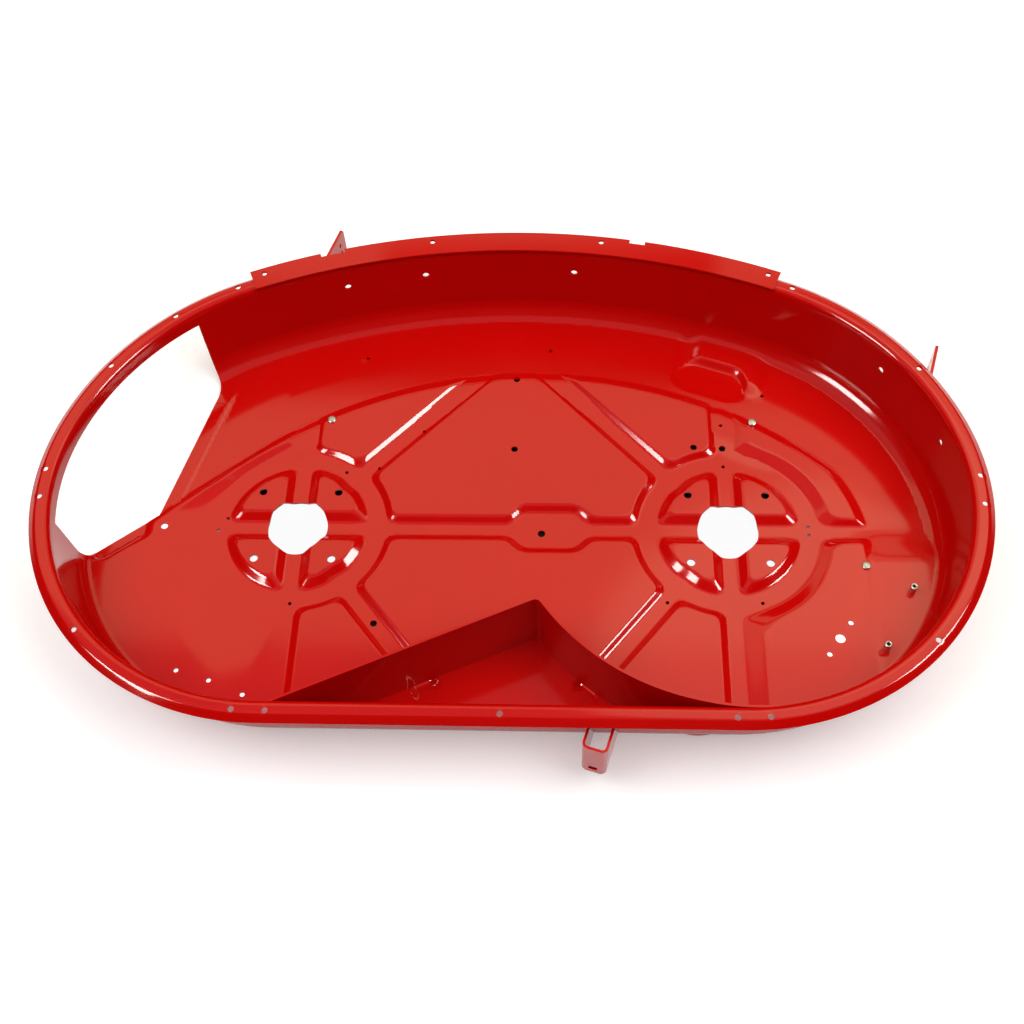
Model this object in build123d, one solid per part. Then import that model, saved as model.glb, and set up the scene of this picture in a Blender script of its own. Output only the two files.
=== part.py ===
from build123d import *
import os
from math import atan, cos, degrees, radians, sin, sqrt, tan

os.makedirs("parts", exist_ok=True)

# A twin-blade lawn mower deck, lying on its top with the mouth up.
# Origin midway between the two spindle centres, in the inner face of the plate.
# +X along the spindles, +Y towards the front edge, +Z out of the mouth. Millimetres.

# Sheet and levels
sheet = 2.7
deck_depth = 110.0
bead_depth = 6.5
bead_slope = 40.0
pocket_depth = 5.0
floor_level = -bead_depth
under_level = floor_level - sheet

# Rim outline: straight rear edge, end arcs, corner arcs and one long front arc
rim_shift = -3.3
rear_reach = 314.0
end_offset = 272.0
end_radius = 315.0
end_sweep = 105.0
corner_radius = 370.0
corner_sweep = 52.0

# Section of the edge: lip, flange, wall and foot
lip_run = 9.0
lip_drop = 7.0
lip_bend = 5.0
flange_width = 26.0
flange_bend = 8.0
wall_draft = 4.0
foot_radius = 26.0
foot_land = 4.0
hoop_height = 22.0

# Spindles and their beads
spindle_spacing = 558.0
spindle_hole_radius = 39.0
spindle_bolt_square = 100.0
spindle_bolt_radius = 5.2
ring_inner_radius = 85.0
ring_outer_radius = 124.0
bead_width = 34.0
front_bead_angle = 47.0
rear_bead_angle = 51.0
rear_bead_length = 290.0
down_bead_length = 240.0
bead_past_step = 40.0
side_stub_length = 146.0
pad_corner = 7.5
land_corner = 3.0
press_overcut = 0.3
joint_angle = 2.0

# Hexagonal widening of the bead between the spindles
hub_centre_x = 49.0
hub_length = 118.0
hub_flat = 84.0
hub_width = 70.0
hub_corner = 18.0
hub_hole_radius = 5.0
hub_hole_x = 39.0
hub_hole_y = -5.0

# Edge of the plate: a step down to the front tunnel
step_radius = 580.0
step_centre_x = 25.0
step_front_y = 246.0
step_left_angle = 129.1
step_left_run = 158.8
step_end_x = 449.0
step_end_bulge = 58.0
ramp_start_y = -12.0
ramp_end_y = -76.0
tunnel_end_y = -56.0
tunnel_end_round = 18.0

# Pressed pocket in the tunnel floor
pocket_x = 270.0
pocket_y = 250.0
pocket_length = 106.0
pocket_width = 60.0
pocket_turn = -20.0

# Discharge opening in the left end, seen in plan from the corner where the plate ends
chute_front_x = 45.0
chute_front_y = 222.0
chute_rear_x = -81.0
chute_rear_y = -63.0
chute_front_turn = 118.0
chute_rear_turn = 195.0
chute_round = 14.0
chute_rib_width = 34.0
chute_rib_length = 50.0
chute_rib_start = 34.0
chute_land_front = 27.0
chute_land_foot_x = 22.0
chute_land_foot_y = 18.0

# Baffle behind the blades
baffle_height = 106.0
baffle_apex_x = 40.0
baffle_apex_y = -152.0
baffle_apex_round = 10.0
baffle_left_x = -262.0
baffle_wall_gap = 4.0

# Strip on the front flange
strip_thickness = 3.0
strip_width = 32.0
strip_overhang = 4.0
strip_half_angle = 22.6
strip_notch_depth = 6.0
strip_notches = ((-15.5, 33.0), (10.4, 21.0))
strip_hole_radius = 3.6
strip_hole_inset = 6.0
strip_hole_angles = (-21.5, -7.0, 7.4, 21.7)

# Brackets, set along the line of travel
travel_angle = 17.0
bracket_thickness = 4.0
bracket_top = 95.0
bracket_tip_height = 50.0
bracket_root_height = 78.0
bracket_corner = 7.0
bracket_inside = 16.0
bracket_hole_radius = 3.2
bracket_hole_pitch = 14.0
bracket_hole_count = 3
left_bracket_angle = 104.34
left_bracket_reach = 57.5
left_bracket_length = 100.0
right_bracket_angle = 35.4
right_bracket_reach = 42.8
right_bracket_length = 120.0

# Strap behind the rear wall
strap_x = 103.0
strap_reach = 19.0
strap_length = 60.0
strap_width = 30.0
strap_thickness = 3.2
strap_bend = 7.0
strap_top = 85.0
strap_height = 68.0
strap_slot_width = 10.0
strap_slot_height = 9.0
strap_slot_lift = 8.0

# Fasteners in the plate
stud_head_radius = 5.5
stud_head_height = 3.0
stud_shank_radius = 3.9
stud_shank_length = 14.0
stud_clearance = 0.1
stud_places = ((-250.0, 168.0), (320.0, 167.0), (448.5, -51.5))
tube_radius = 4.3
tube_bore_radius = 2.3
tube_height = 13.0
tube_head_radius = 7.0
tube_head_thickness = 1.6
tube_places = ((501.0, -86.0), (460.0, -165.0))

# Plain holes
rim_hole_radius = 3.7
rim_hole_inset = 12.5
rim_rear_holes = (-301.0, -262.0, -1.0, 260.0, 297.0)
rim_end_hole_angles = (-43.0, -4.9, 2.7)
rim_corner_hole_angles = (32.0, 64.5)
rim_chute_hole_angle = 49.7
wall_hole_radius = 4.3
wall_hole_height = 72.0
wall_front_holes = (-234.0, -127.0, 79.0)
wall_end_holes = ((481.0, 202.0), (542.0, 88.0))
plate_hole_radius = 4.5
plate_holes = ((0.8, 122.0), (0.8, 238.0), (278.5, 128.5), (240.0, 126.7), (-453.7, -1.4), (-168.5, -136.4))
small_hole_radius = 2.4
small_holes = ((278.5, 165.0), (278.5, 100.0), (-123.0, 154.0), (-223.0, 87.0), (-179.5, 93.5),
               (-373.0, 14.0), (-383.0, -4.0), (-277.0, -110.0), (382.0, 8.0), (382.0, -4.0),
               (198.0, -103.0), (316.5, -102.5))
tunnel_holes = ((-211.0, 280.0), (47.0, 294.0), (338.0, 217.0))
cover_hole_radius = 3.0
cover_holes = ((-405.0, -206.0), (-363.0, -218.5), (-320.0, -235.0))
port_centre = (406.2, -152.2)
port_hole_radius = 6.2
port_screw_radius = 3.4
port_screw_pitch = 26.0
port_turn = 55.0

# Worked out from the driving sizes
spindle_x = spindle_spacing / 2
bead_taper = 90 - bead_slope
under_inset = sheet * tan(radians(bead_slope / 2))
spindles = ((-spindle_x, 0), (spindle_x, 0))
corner_end = end_sweep + corner_sweep
end_sine = sin(radians(end_sweep))
corner_sine = sin(radians(corner_end))
front_radius = (end_offset + end_radius * end_sine + corner_radius * (corner_sine - end_sine)) / corner_sine
end_centre = Vector(end_offset, end_radius - rear_reach)
corner_centre = end_centre + Vector(0, end_radius - corner_radius).rotate(Axis.Z, end_sweep) * -1
front_centre = corner_centre + Vector(0, corner_radius - front_radius).rotate(Axis.Z, corner_end) * -1
front_reach = front_centre.Y + front_radius
wall_foot_inset = flange_width + (deck_depth - floor_level) * tan(radians(wall_draft))
foot_start_inset = wall_foot_inset + foot_radius * tan(radians(45 - wall_draft / 2))
floor_inset = foot_start_inset + foot_land
step_centre = Vector(step_centre_x, step_front_y - step_radius)
step_left = step_centre + Vector(step_radius, 0).rotate(Axis.Z, step_left_angle)
chute_corner = step_left + Vector(0, step_left_run).rotate(Axis.Z, step_left_angle)
chute_front = chute_corner + Vector(chute_front_x, chute_front_y)
chute_rear = chute_corner + Vector(chute_rear_x, chute_rear_y)


def mirrored(point):
    """Takes a point of the right half of the outline to the left half."""
    return Vector(-point.X, point.Y)


def on_arc(centre, radius, angle):
    """Gives the point of an arc at an angle from +X, in degrees."""
    return centre + Vector(radius, 0).rotate(Axis.Z, angle)


def outline(inset):
    """Draws the rim outline moved inwards by an inset, as a face at height zero."""
    end_r = end_radius - inset
    corner_r = corner_radius - inset
    front_r = front_radius - inset
    first = end_sweep - 90
    second = corner_end - 90
    rear = Vector(end_offset, -rear_reach + inset)
    end_mid = on_arc(end_centre, end_r, (first - 90) / 2)
    corner_start = on_arc(end_centre, end_r, first)
    corner_mid = on_arc(corner_centre, corner_r, (first + second) / 2)
    front_start = on_arc(corner_centre, corner_r, second)
    front_mid = on_arc(front_centre, front_r, 90)
    edges = [
        Edge.make_line(mirrored(rear), rear),
        Edge.make_three_point_arc(rear, end_mid, corner_start),
        Edge.make_three_point_arc(corner_start, corner_mid, front_start),
        Edge.make_three_point_arc(front_start, front_mid, mirrored(front_start)),
        Edge.make_three_point_arc(mirrored(front_start), mirrored(corner_mid), mirrored(corner_start)),
        Edge.make_three_point_arc(mirrored(corner_start), mirrored(end_mid), mirrored(rear)),
    ]
    return Pos(rim_shift, 0) * Face(Wire(edges))


def edge_section():
    """Draws the section of lip, flange, wall and foot, with X minus the inset from the rim."""
    line = FilletPolyline(
        (0, deck_depth - lip_drop),
        (-lip_run, deck_depth),
        (-flange_width, deck_depth),
        (-wall_foot_inset, floor_level),
        (-floor_inset, floor_level),
        radius=[lip_bend, flange_bend, foot_radius],
    )
    return make_face(offset(line, amount=sheet, side=Side.LEFT).edges())


def swept_edge(section):
    """Carries the edge section round the rim outline, arc by arc."""
    pieces = []
    arcs = (
        (end_centre, end_radius, -90, end_sweep),
        (corner_centre, corner_radius, end_sweep - 90, corner_sweep),
        (front_centre, front_radius, corner_end - 90, 360 - 2 * corner_end),
        (mirrored(corner_centre), corner_radius, 270 - corner_end, corner_sweep),
        (mirrored(end_centre), end_radius, 270 - end_sweep, end_sweep),
    )
    for centre, radius, start, sweep in arcs:
        outward = Vector(1, 0).rotate(Axis.Z, start)
        side = Vector(outward.Y, -outward.X)
        place = Plane(origin=centre + Vector(rim_shift, 0), x_dir=outward, z_dir=side)
        pieces.append(revolve(place * Pos(radius, 0) * section, Axis(place.origin, (0, 0, 1)), sweep))
    rear = Plane(origin=(rim_shift - end_offset, -rear_reach), x_dir=(0, -1, 0), z_dir=(-1, 0, 0))
    pieces.append(extrude(rear * section, amount=-2 * end_offset))
    return Part() + pieces


def bar(centre, angle, start, end, width, round_end=False):
    """Draws a straight bead along a ray from a centre, with a round end if asked."""
    strip = Pos((start + end) / 2, 0) * Rectangle(end - start, width)
    if round_end:
        strip = strip + Pos(end, 0) * Circle(width / 2)
    return Pos(*centre) * Rot(0, 0, angle) * strip


def step_point(x):
    """Gives the point of the front step arc at a station along X."""
    return Vector(x, step_centre.Y + sqrt(step_radius**2 - (x - step_centre.X) ** 2))


def plate_region():
    """Draws the raised plate: behind the front step, and running out past the rear wall."""
    right = step_point(spindle_x)
    far = 2 * end_offset + end_radius
    outer = chute_corner + (chute_corner - step_left).normalized() * far
    end = Vector(step_end_x, tunnel_end_y)
    bulge = (right + end) / 2 + (right - end).normalized().rotate(Axis.Z, -90) * step_end_bulge
    corner = Vector(far, ramp_end_y)
    edges = [
        Edge.make_line(outer, step_left),
        Edge.make_three_point_arc(step_left, step_point(step_centre.X), right),
        Edge.make_three_point_arc(right, bulge, end),
        Edge.make_line(end, corner),
        Edge.make_line(corner, Vector(far, -far)),
        Edge.make_line(Vector(far, -far), Vector(outer.X, -far)),
        Edge.make_line(Vector(outer.X, -far), outer),
    ]
    face = Face(Wire(edges))
    return Sketch() + [face.fillet_2d(tunnel_end_round, [face.vertices().sort_by_distance(end)[0]])]


def bead_network():
    """Draws the beads: a ring and a cross at each spindle, diagonals, and the hub between."""
    beads = Sketch()
    ring_radius = (ring_inner_radius + ring_outer_radius) / 2
    for x, y in spindles:
        inward = 0 if x < 0 else 180
        turn = 1 if x < 0 else -1
        front_angle = inward + turn * front_bead_angle
        rear_angle = inward - turn * rear_bead_angle
        beads += Pos(x, y) * (Circle(ring_outer_radius) - Circle(ring_inner_radius))
        beads += bar((x, y), 90, 0, step_radius, bead_width)
        beads += bar((x, y), -90, 0, down_bead_length, bead_width, True)
        beads += bar((x, y), front_angle, ring_radius, step_radius, bead_width)
        beads += bar((x, y), rear_angle, ring_radius, rear_bead_length, bead_width, True)
    bar_end = step_end_x + bead_past_step
    beads += bar((0, 0), 0, 0, bar_end, bead_width)
    beads += bar((0, 0), 180, 0, spindle_x + side_stub_length, bead_width, True)
    half = hub_length / 2
    flat = hub_flat / 2
    tall = hub_width / 2
    corners = ((-half, 0), (-flat, tall), (flat, tall), (half, 0), (flat, -tall), (-flat, -tall))
    hub = Polygon(*corners, align=None)
    flats = [v for v in hub.vertices() if abs(v.Y) > tall / 2]
    beads += Pos(hub_centre_x, 0) * fillet(flats, hub_corner)
    return beads


def chute_plan():
    """Draws the plan of the discharge opening, open past the rim on the left."""
    front_out = on_arc(chute_front, end_radius, chute_front_turn)
    rear_out = on_arc(chute_rear, end_radius, chute_rear_turn)
    line = Polyline(front_out, chute_front, chute_corner, chute_rear, rear_out, close=True)
    plan = make_face(line.edges())
    rounded = [plan.vertices().sort_by_distance(corner)[0] for corner in (chute_front, chute_rear)]
    return fillet(rounded, chute_round)


def raised_pads():
    """Draws the faces of the plate that stand above the beads and the tunnel floor."""
    back = (chute_rear - chute_corner).normalized()
    rib_start = chute_corner + back * chute_rib_start
    rib_angle = degrees(atan(back.Y / back.X)) + 180
    rib = Pos(rib_start.X, rib_start.Y) * Circle(chute_rib_width / 2)
    rib += bar((rib_start.X, rib_start.Y), rib_angle, 0, chute_rib_length, chute_rib_width, True)
    pads = plate_region() - bead_network() - rib
    inner = chute_front + Vector(chute_land_front, 0)
    foot = chute_corner + Vector(chute_land_foot_x, chute_land_foot_y)
    outside = chute_corner - Vector(chute_land_foot_x, 0)
    land = make_face(Polyline(chute_front, inner, foot, outside, close=True).edges()).face()
    faces = [round_corners(face, pad_corner) for face in pads.faces()]
    return faces + [round_corners(land, land_corner)]


def round_corners(face, radius):
    """Rounds the corners of one pad, as the press leaves them, and leaves its tangent joints alone."""
    corners = []
    for corner in face.outer_wire().vertices():
        meeting = [edge for edge in face.outer_wire().edges() if corner in edge.vertices()]
        before, after = [direction_at(edge, corner.center()) for edge in meeting]
        if before.cross(after).length > sin(radians(joint_angle)):
            corners.append(corner)
    return face.fillet_2d(radius, corners)


def direction_at(edge, end):
    """Gives the direction of an edge at one of its ends."""
    at_start = (edge.position_at(0) - end).length < (edge.position_at(1) - end).length
    return edge.tangent_at(0 if at_start else 1)


def sink(face, depth, inset):
    """Gives the body under a pad set in by an inset, widening downwards at the bead's slope."""
    run = depth / tan(radians(bead_slope))
    block = extrude(offset(face, amount=run - inset).face(), amount=depth + sheet, dir=(0, 0, -1))
    top = block.faces().sort_by(Axis.Z)[-1]
    return chamfer(top.edges(), length=run, length2=depth, reference=top)


def ramp(drop):
    """Closes the tunnel at the right end with a slope up to the plate, dropped by a height."""
    low = floor_level - drop
    side = Plane(origin=(step_end_x, 0, 0), x_dir=(0, 1, 0), z_dir=(1, 0, 0))
    corners = Polyline((ramp_start_y, low), (ramp_end_y, -drop), (ramp_end_y, low), close=True)
    return extrude(side * make_face(corners.edges()), amount=end_offset)


def pocket(grow, top):
    """Gives the sunk pocket in the tunnel floor, grown sideways and started at a height."""
    plan = SlotOverall(pocket_length + 2 * grow, pocket_width + 2 * grow)
    place = Pos(pocket_x, pocket_y, top) * Rot(0, 0, pocket_turn)
    return extrude(place * plan, amount=-pocket_depth, taper=bead_taper)


def punch(places, radius):
    """Gives upright punches through the floor at the places."""
    pin = extrude(Circle(radius), amount=deck_depth / 2)
    return [Pos(x, y, under_level - pocket_depth) * pin for x, y in places]


def spindle_punches():
    """Gives the spindle holes and the four bolt holes round each."""
    tools = punch(spindles, spindle_hole_radius)
    half = spindle_bolt_square / 2
    for x, y in spindles:
        bolts = [(x + i * half, y + j * half) for i in (-1, 1) for j in (-1, 1)]
        tools += punch(bolts, spindle_bolt_radius)
    return tools


def plate_punches():
    """Gives the plain holes of the plate and of the tunnel floor."""
    pitch = Vector(port_screw_pitch, 0).rotate(Axis.Z, port_turn)
    port = [Vector(*port_centre) + pitch, Vector(*port_centre) - pitch]
    tools = punch([(hub_hole_x, hub_hole_y)], hub_hole_radius)
    tools += punch(plate_holes, plate_hole_radius)
    tools += punch(small_holes + tunnel_holes, small_hole_radius)
    tools += punch(cover_holes, cover_hole_radius)
    tools += punch([port_centre], port_hole_radius)
    tools += punch([(p.X, p.Y) for p in port], port_screw_radius)
    tools += punch(stud_places, stud_shank_radius + stud_clearance)
    tools += punch(tube_places, tube_radius + stud_clearance)
    return tools


def rim_punches():
    """Gives the holes along the flange, the ends alike on both sides."""
    places = [Vector(x - rim_shift, -rear_reach + rim_hole_inset) for x in rim_rear_holes]
    for angle in rim_end_hole_angles:
        place = on_arc(end_centre, end_radius - rim_hole_inset, angle)
        places += [place, mirrored(place)]
    for angle in rim_corner_hole_angles:
        place = on_arc(corner_centre, corner_radius - rim_hole_inset, angle)
        places += [place, mirrored(place)]
    places.append(mirrored(on_arc(corner_centre, corner_radius - rim_hole_inset, rim_chute_hole_angle)))
    depth = lip_drop + flange_bend
    pin = extrude(Circle(rim_hole_radius), amount=depth + sheet)
    return [Pos(p.X + rim_shift, p.Y, deck_depth - depth) * pin for p in places]


def wall_punches():
    """Gives the level holes through the front wall and the right end wall."""
    tools = []
    front = [Vector(x, front_reach - flange_width) for x in wall_front_holes]
    ends = [Vector(x, y) for x, y in wall_end_holes]
    for place in front:
        tools.append(level_pin(place, Vector(0, 1)))
    for place in ends:
        tools.append(level_pin(place, (place - corner_centre).normalized()))
    return tools


def level_pin(place, outward):
    """Gives a level punch through the wall at a place, along the outward direction."""
    reach = flange_width + foot_radius
    start = Plane(origin=(place.X, place.Y, wall_hole_height), z_dir=(outward.X, outward.Y, 0))
    return extrude(start * Circle(wall_hole_radius), amount=reach, both=True)


def deck_shell():
    """Presses the deck from one sheet, then punches its openings."""
    body = swept_edge(edge_section())
    body += Pos(0, 0, under_level) * extrude(outline(floor_inset), amount=sheet)
    foot_middle = foot_radius + sheet / 2
    foot_rise = foot_radius + floor_level + sheet / 2
    seat_inset = foot_start_inset - sqrt(foot_middle**2 - foot_rise**2)
    limit = Pos(0, 0, floor_level) * extrude(outline(seat_inset), amount=bead_depth)
    raised = [ramp(0) & limit]
    hollow = [ramp(sheet)]
    for pad in raised_pads():
        raised.append(sink(pad, bead_depth, 0) & limit)
        hollow.append(Pos(0, 0, -sheet) * sink(pad, bead_depth + press_overcut, under_inset))
    pressed = body + raised - hollow
    pressed = pressed + pocket(under_inset, under_level) - pocket(0, floor_level)
    chute_floor = under_level - pocket_depth
    chute = Pos(0, 0, chute_floor) * extrude(chute_plan(), amount=deck_depth - hoop_height - chute_floor)
    return pressed - chute - spindle_punches() - plate_punches() - rim_punches() - wall_punches()


def outermost(solid, shell, toward):
    """Trims a piece to the face of the shell and keeps the part that lies furthest out."""
    return (solid - shell).solids().sort_by(lambda one: one.center().dot(toward))[-1]


def rear_baffle(shell):
    """Folds the baffle: a straight wing, a fold at the apex and a wing round the right spindle."""
    apex = Vector(baffle_apex_x, baffle_apex_y)
    left = Vector(baffle_left_x, -rear_reach + flange_width)
    start = left - (apex - left).normalized() * flange_width
    spindle = Vector(spindle_x, 0)
    radius = rear_reach - flange_width - baffle_wall_gap
    wing = apex - spindle
    entry = spindle + wing.normalized() * radius
    end = Vector(spindle_x, -radius)
    middle = spindle + ((entry - spindle) + (end - spindle)).normalized() * radius
    straight = Edge.make_line(start, entry)
    arc = Edge.make_three_point_arc(entry, middle, end)
    out = Edge.make_line(end, end + Vector(flange_width, 0))
    line = Wire([straight, arc, out])
    fold = line.fillet_2d(baffle_apex_round, [line.vertices().sort_by_distance(entry)[0]])
    strip = make_face(offset(Curve() + [fold], amount=sheet, side=Side.RIGHT).edges())
    return (extrude(strip, amount=baffle_height) - shell).solids().sort_by(lambda one: one.volume)[-1]


def front_strip():
    """Cuts the strip on the front flange: an arc with two notches and four holes."""
    centre = front_centre + Vector(rim_shift, 0)
    outer = front_radius + strip_overhang
    inner = outer - strip_width
    sector = Circle(outer) - Circle(inner)
    half = radians(strip_half_angle)
    wedge = Polygon((0, 0), (-2 * outer * sin(half), 2 * outer * cos(half)),
                    (2 * outer * sin(half), 2 * outer * cos(half)), align=None)
    plan = sector & wedge
    for angle, width in strip_notches:
        plan -= Rot(0, 0, -angle) * Pos(0, outer) * Rectangle(width, 2 * strip_notch_depth)
    for angle in strip_hole_angles:
        plan -= Rot(0, 0, -angle) * Pos(0, front_radius - strip_hole_inset) * Circle(strip_hole_radius)
    return Pos(centre.X, centre.Y, deck_depth) * extrude(plan, amount=strip_thickness)


def gauge_bracket(tip, length, shell):
    """Cuts an upright bracket plate along the line of travel, from a tip past the rim to the wall."""
    low = bracket_top - bracket_tip_height
    root = bracket_top - bracket_root_height
    corners = ((0, bracket_top), (-length, bracket_top), (-length, root), (-bracket_corner, low), (0, low))
    profile = Polygon(*corners, align=None)
    ends = [v for v in profile.vertices() if v.X > -1]
    profile = fillet(ends, bracket_corner / 2)
    for k in range(bracket_hole_count):
        z = bracket_top - bracket_inside - k * bracket_hole_pitch
        profile -= Pos(-bracket_inside, z) * Circle(bracket_hole_radius)
    along = Vector(0, 1).rotate(Axis.Z, -travel_angle)
    across = Vector(along.Y, -along.X)
    place = Plane(origin=tip + Vector(rim_shift, 0), x_dir=along, z_dir=across)
    plate = extrude(place * profile, amount=bracket_thickness / 2, both=True)
    return outermost(plate, shell, along)


def sway_bar_bracket(shell):
    """Bends the strap behind the rear wall to a U with a slot in its end."""
    half = strap_width / 2
    bends = ((-half, strap_length), (-half, 0), (half, 0), (half, strap_length))
    line = FilletPolyline(*bends, radius=strap_bend)
    plan = make_face(offset(line, amount=-strap_thickness, side=Side.LEFT).edges())
    strap = Pos(0, 0, strap_top - strap_height) * extrude(plan, amount=strap_height)
    slot = Pos(0, 0, strap_top - strap_height + strap_slot_lift + strap_slot_height / 2)
    strap -= slot * Box(strap_slot_width, 4 * strap_thickness, strap_slot_height)
    placed = Pos(strap_x, -rear_reach - strap_reach) * Rot(0, 0, -travel_angle) * strap
    return outermost(placed, shell, Vector(0, -1))


def plate_studs():
    """Turns the studs in the plate: a low head over a shank in its hole."""
    head = extrude(Circle(stud_head_radius), amount=stud_head_height)
    shank = extrude(Circle(stud_shank_radius), amount=-stud_shank_length)
    return Compound([Pos(x, y) * (head + shank) for x, y in stud_places])


def tubular_rivets():
    """Turns the tubular rivets that stand up from the plate, headed on the far side."""
    tube = Pos(0, 0, -sheet) * extrude(Circle(tube_radius), amount=tube_height + sheet)
    head = Pos(0, 0, -sheet) * extrude(Circle(tube_head_radius), amount=-tube_head_thickness)
    bore = Pos(0, 0, -sheet) * extrude(Circle(tube_bore_radius), amount=tube_height + sheet)
    return Compound([Pos(x, y) * (tube + head - bore) for x, y in tube_places])


shell = deck_shell()
left_tip = on_arc(front_centre, front_radius + left_bracket_reach, left_bracket_angle)
right_tip = on_arc(corner_centre, corner_radius + right_bracket_reach, right_bracket_angle)
nodes = {
    "deck_shell": shell,
    "rear_baffle": rear_baffle(shell),
    "front_strip": front_strip(),
    "gauge_bracket_left": gauge_bracket(left_tip, left_bracket_length, shell),
    "gauge_bracket_right": gauge_bracket(right_tip, right_bracket_length, shell),
    "sway_bar_bracket": sway_bar_bracket(shell),
    "plate_studs": plate_studs(),
    "tubular_rivets": tubular_rivets(),
}
for name, shape in nodes.items():
    export_step(shape, f"parts/{name}.step")
    box = shape.bounding_box()
    print(name, len(shape.solids()), shape.is_valid, round(shape.volume), box.min, box.max)
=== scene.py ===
import bpy
import numpy as np
from mathutils import Matrix, Vector
from mathutils.geometry import delaunay_2d_cdt


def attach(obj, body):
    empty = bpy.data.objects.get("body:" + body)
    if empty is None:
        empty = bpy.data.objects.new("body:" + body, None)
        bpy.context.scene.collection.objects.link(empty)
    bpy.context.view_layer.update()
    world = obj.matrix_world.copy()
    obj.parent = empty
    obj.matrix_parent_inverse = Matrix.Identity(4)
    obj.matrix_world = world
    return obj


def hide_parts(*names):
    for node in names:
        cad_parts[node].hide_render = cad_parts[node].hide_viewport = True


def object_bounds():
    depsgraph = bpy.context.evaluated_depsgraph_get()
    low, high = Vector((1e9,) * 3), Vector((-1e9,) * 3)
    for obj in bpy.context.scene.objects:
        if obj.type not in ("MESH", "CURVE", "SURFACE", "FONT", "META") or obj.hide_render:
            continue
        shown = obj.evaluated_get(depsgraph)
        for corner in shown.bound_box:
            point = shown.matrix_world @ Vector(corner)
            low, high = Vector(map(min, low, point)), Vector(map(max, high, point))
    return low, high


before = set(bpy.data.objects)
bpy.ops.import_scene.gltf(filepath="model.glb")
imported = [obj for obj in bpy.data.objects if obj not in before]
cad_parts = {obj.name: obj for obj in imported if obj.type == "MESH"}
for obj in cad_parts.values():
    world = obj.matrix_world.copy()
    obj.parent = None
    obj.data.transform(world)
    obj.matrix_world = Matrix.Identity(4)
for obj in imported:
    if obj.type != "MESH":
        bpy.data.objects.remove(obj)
cad_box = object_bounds()

# Deck shell: one sheet of steel, 2.7 mm thick, deep drawn to a tub with pressed beads in its floor,
# trimmed to a flange with a turned-down lip, punched, and painted glossy red all over.
# Lengths in this file are millimetres until they go into a mesh.
SHEET = 2.7
MOUTH = 110.0
BEAD_DEPTH = 6.5
SPINDLE_X = 279.0
SPINDLE_HOLE = 39.0

RIM_SHIFT = -3.3
REAR_REACH = 314.0
END_OFFSET = 272.0
END_RADIUS, END_SWEEP = 315.0, np.radians(105.0)
CORNER_RADIUS, CORNER_SWEEP = 370.0, np.radians(52.0)
TURN = END_SWEEP + CORNER_SWEEP
FRONT_RADIUS = (END_OFFSET + END_RADIUS * np.sin(END_SWEEP)
                + CORNER_RADIUS * (np.sin(TURN) - np.sin(END_SWEEP))) / np.sin(TURN)


def turned(angle):
    """Unit vector at an angle from the rear tangent, counted round the right half of the rim."""
    return np.array([np.sin(angle), -np.cos(angle)])


END_CENTRE = np.array([END_OFFSET, END_RADIUS - REAR_REACH])
CORNER_CENTRE = END_CENTRE + (END_RADIUS - CORNER_RADIUS) * turned(END_SWEEP)
FRONT_CENTRE = CORNER_CENTRE + (CORNER_RADIUS - FRONT_RADIUS) * turned(TURN)
FLIP = np.array([-1.0, 1.0])

# The rim as a chain, from the left end round the rear, right end and front: centre, radius, start, sweep.
FRONT_SWEEP = 2 * np.pi - 2 * TURN
RIM_CENTRES = np.array([END_CENTRE * FLIP, [-END_OFFSET, 0.0], END_CENTRE, CORNER_CENTRE, FRONT_CENTRE,
                        CORNER_CENTRE * FLIP]) + [RIM_SHIFT, 0.0]
RIM_RADII = np.array([END_RADIUS, REAR_REACH, END_RADIUS, CORNER_RADIUS, FRONT_RADIUS, CORNER_RADIUS])
REARWARD = 1.5 * np.pi
RIM_STARTS = REARWARD + np.array([-END_SWEEP, 0.0, 0.0, END_SWEEP, TURN, TURN + FRONT_SWEEP])
END_LENGTH, CORNER_LENGTH = END_RADIUS * END_SWEEP, CORNER_RADIUS * CORNER_SWEEP
RIM_LENGTHS = np.array([END_LENGTH, 2 * END_OFFSET, END_LENGTH, CORNER_LENGTH, FRONT_RADIUS * FRONT_SWEEP,
                        CORNER_LENGTH])
RIM_MARKS = np.concatenate([[0.0], np.cumsum(RIM_LENGTHS)])
RIM_LENGTH = RIM_MARKS[-1]
STRAIGHT = 1


def circle(angle):
    """Unit vectors at angles: cosine and sine."""
    return np.stack([np.cos(angle), np.sin(angle)], axis=-1)


def rim_place(s, inset):
    """Point of the rim at arc length s, moved inwards, with the outward direction and the stretch there.
    On an arc: centre plus radius less inset, along the angle; on the straight the centre travels with s."""
    part = np.clip(np.searchsorted(RIM_MARKS, s, side="right") - 1, 0, len(RIM_RADII) - 1)
    along = s - RIM_MARKS[part]
    straight = part == STRAIGHT
    radius = RIM_RADII[part]
    angle = RIM_STARTS[part] + np.where(straight, 0.0, along / radius)
    outward = circle(angle)
    centre = RIM_CENTRES[part] + np.stack([np.where(straight, along, 0.0), np.zeros_like(along)], axis=-1)
    stretch = np.where(straight, 1.0, (radius - inset) / radius)
    return centre + (radius - inset)[..., None] * outward, outward, stretch


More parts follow.
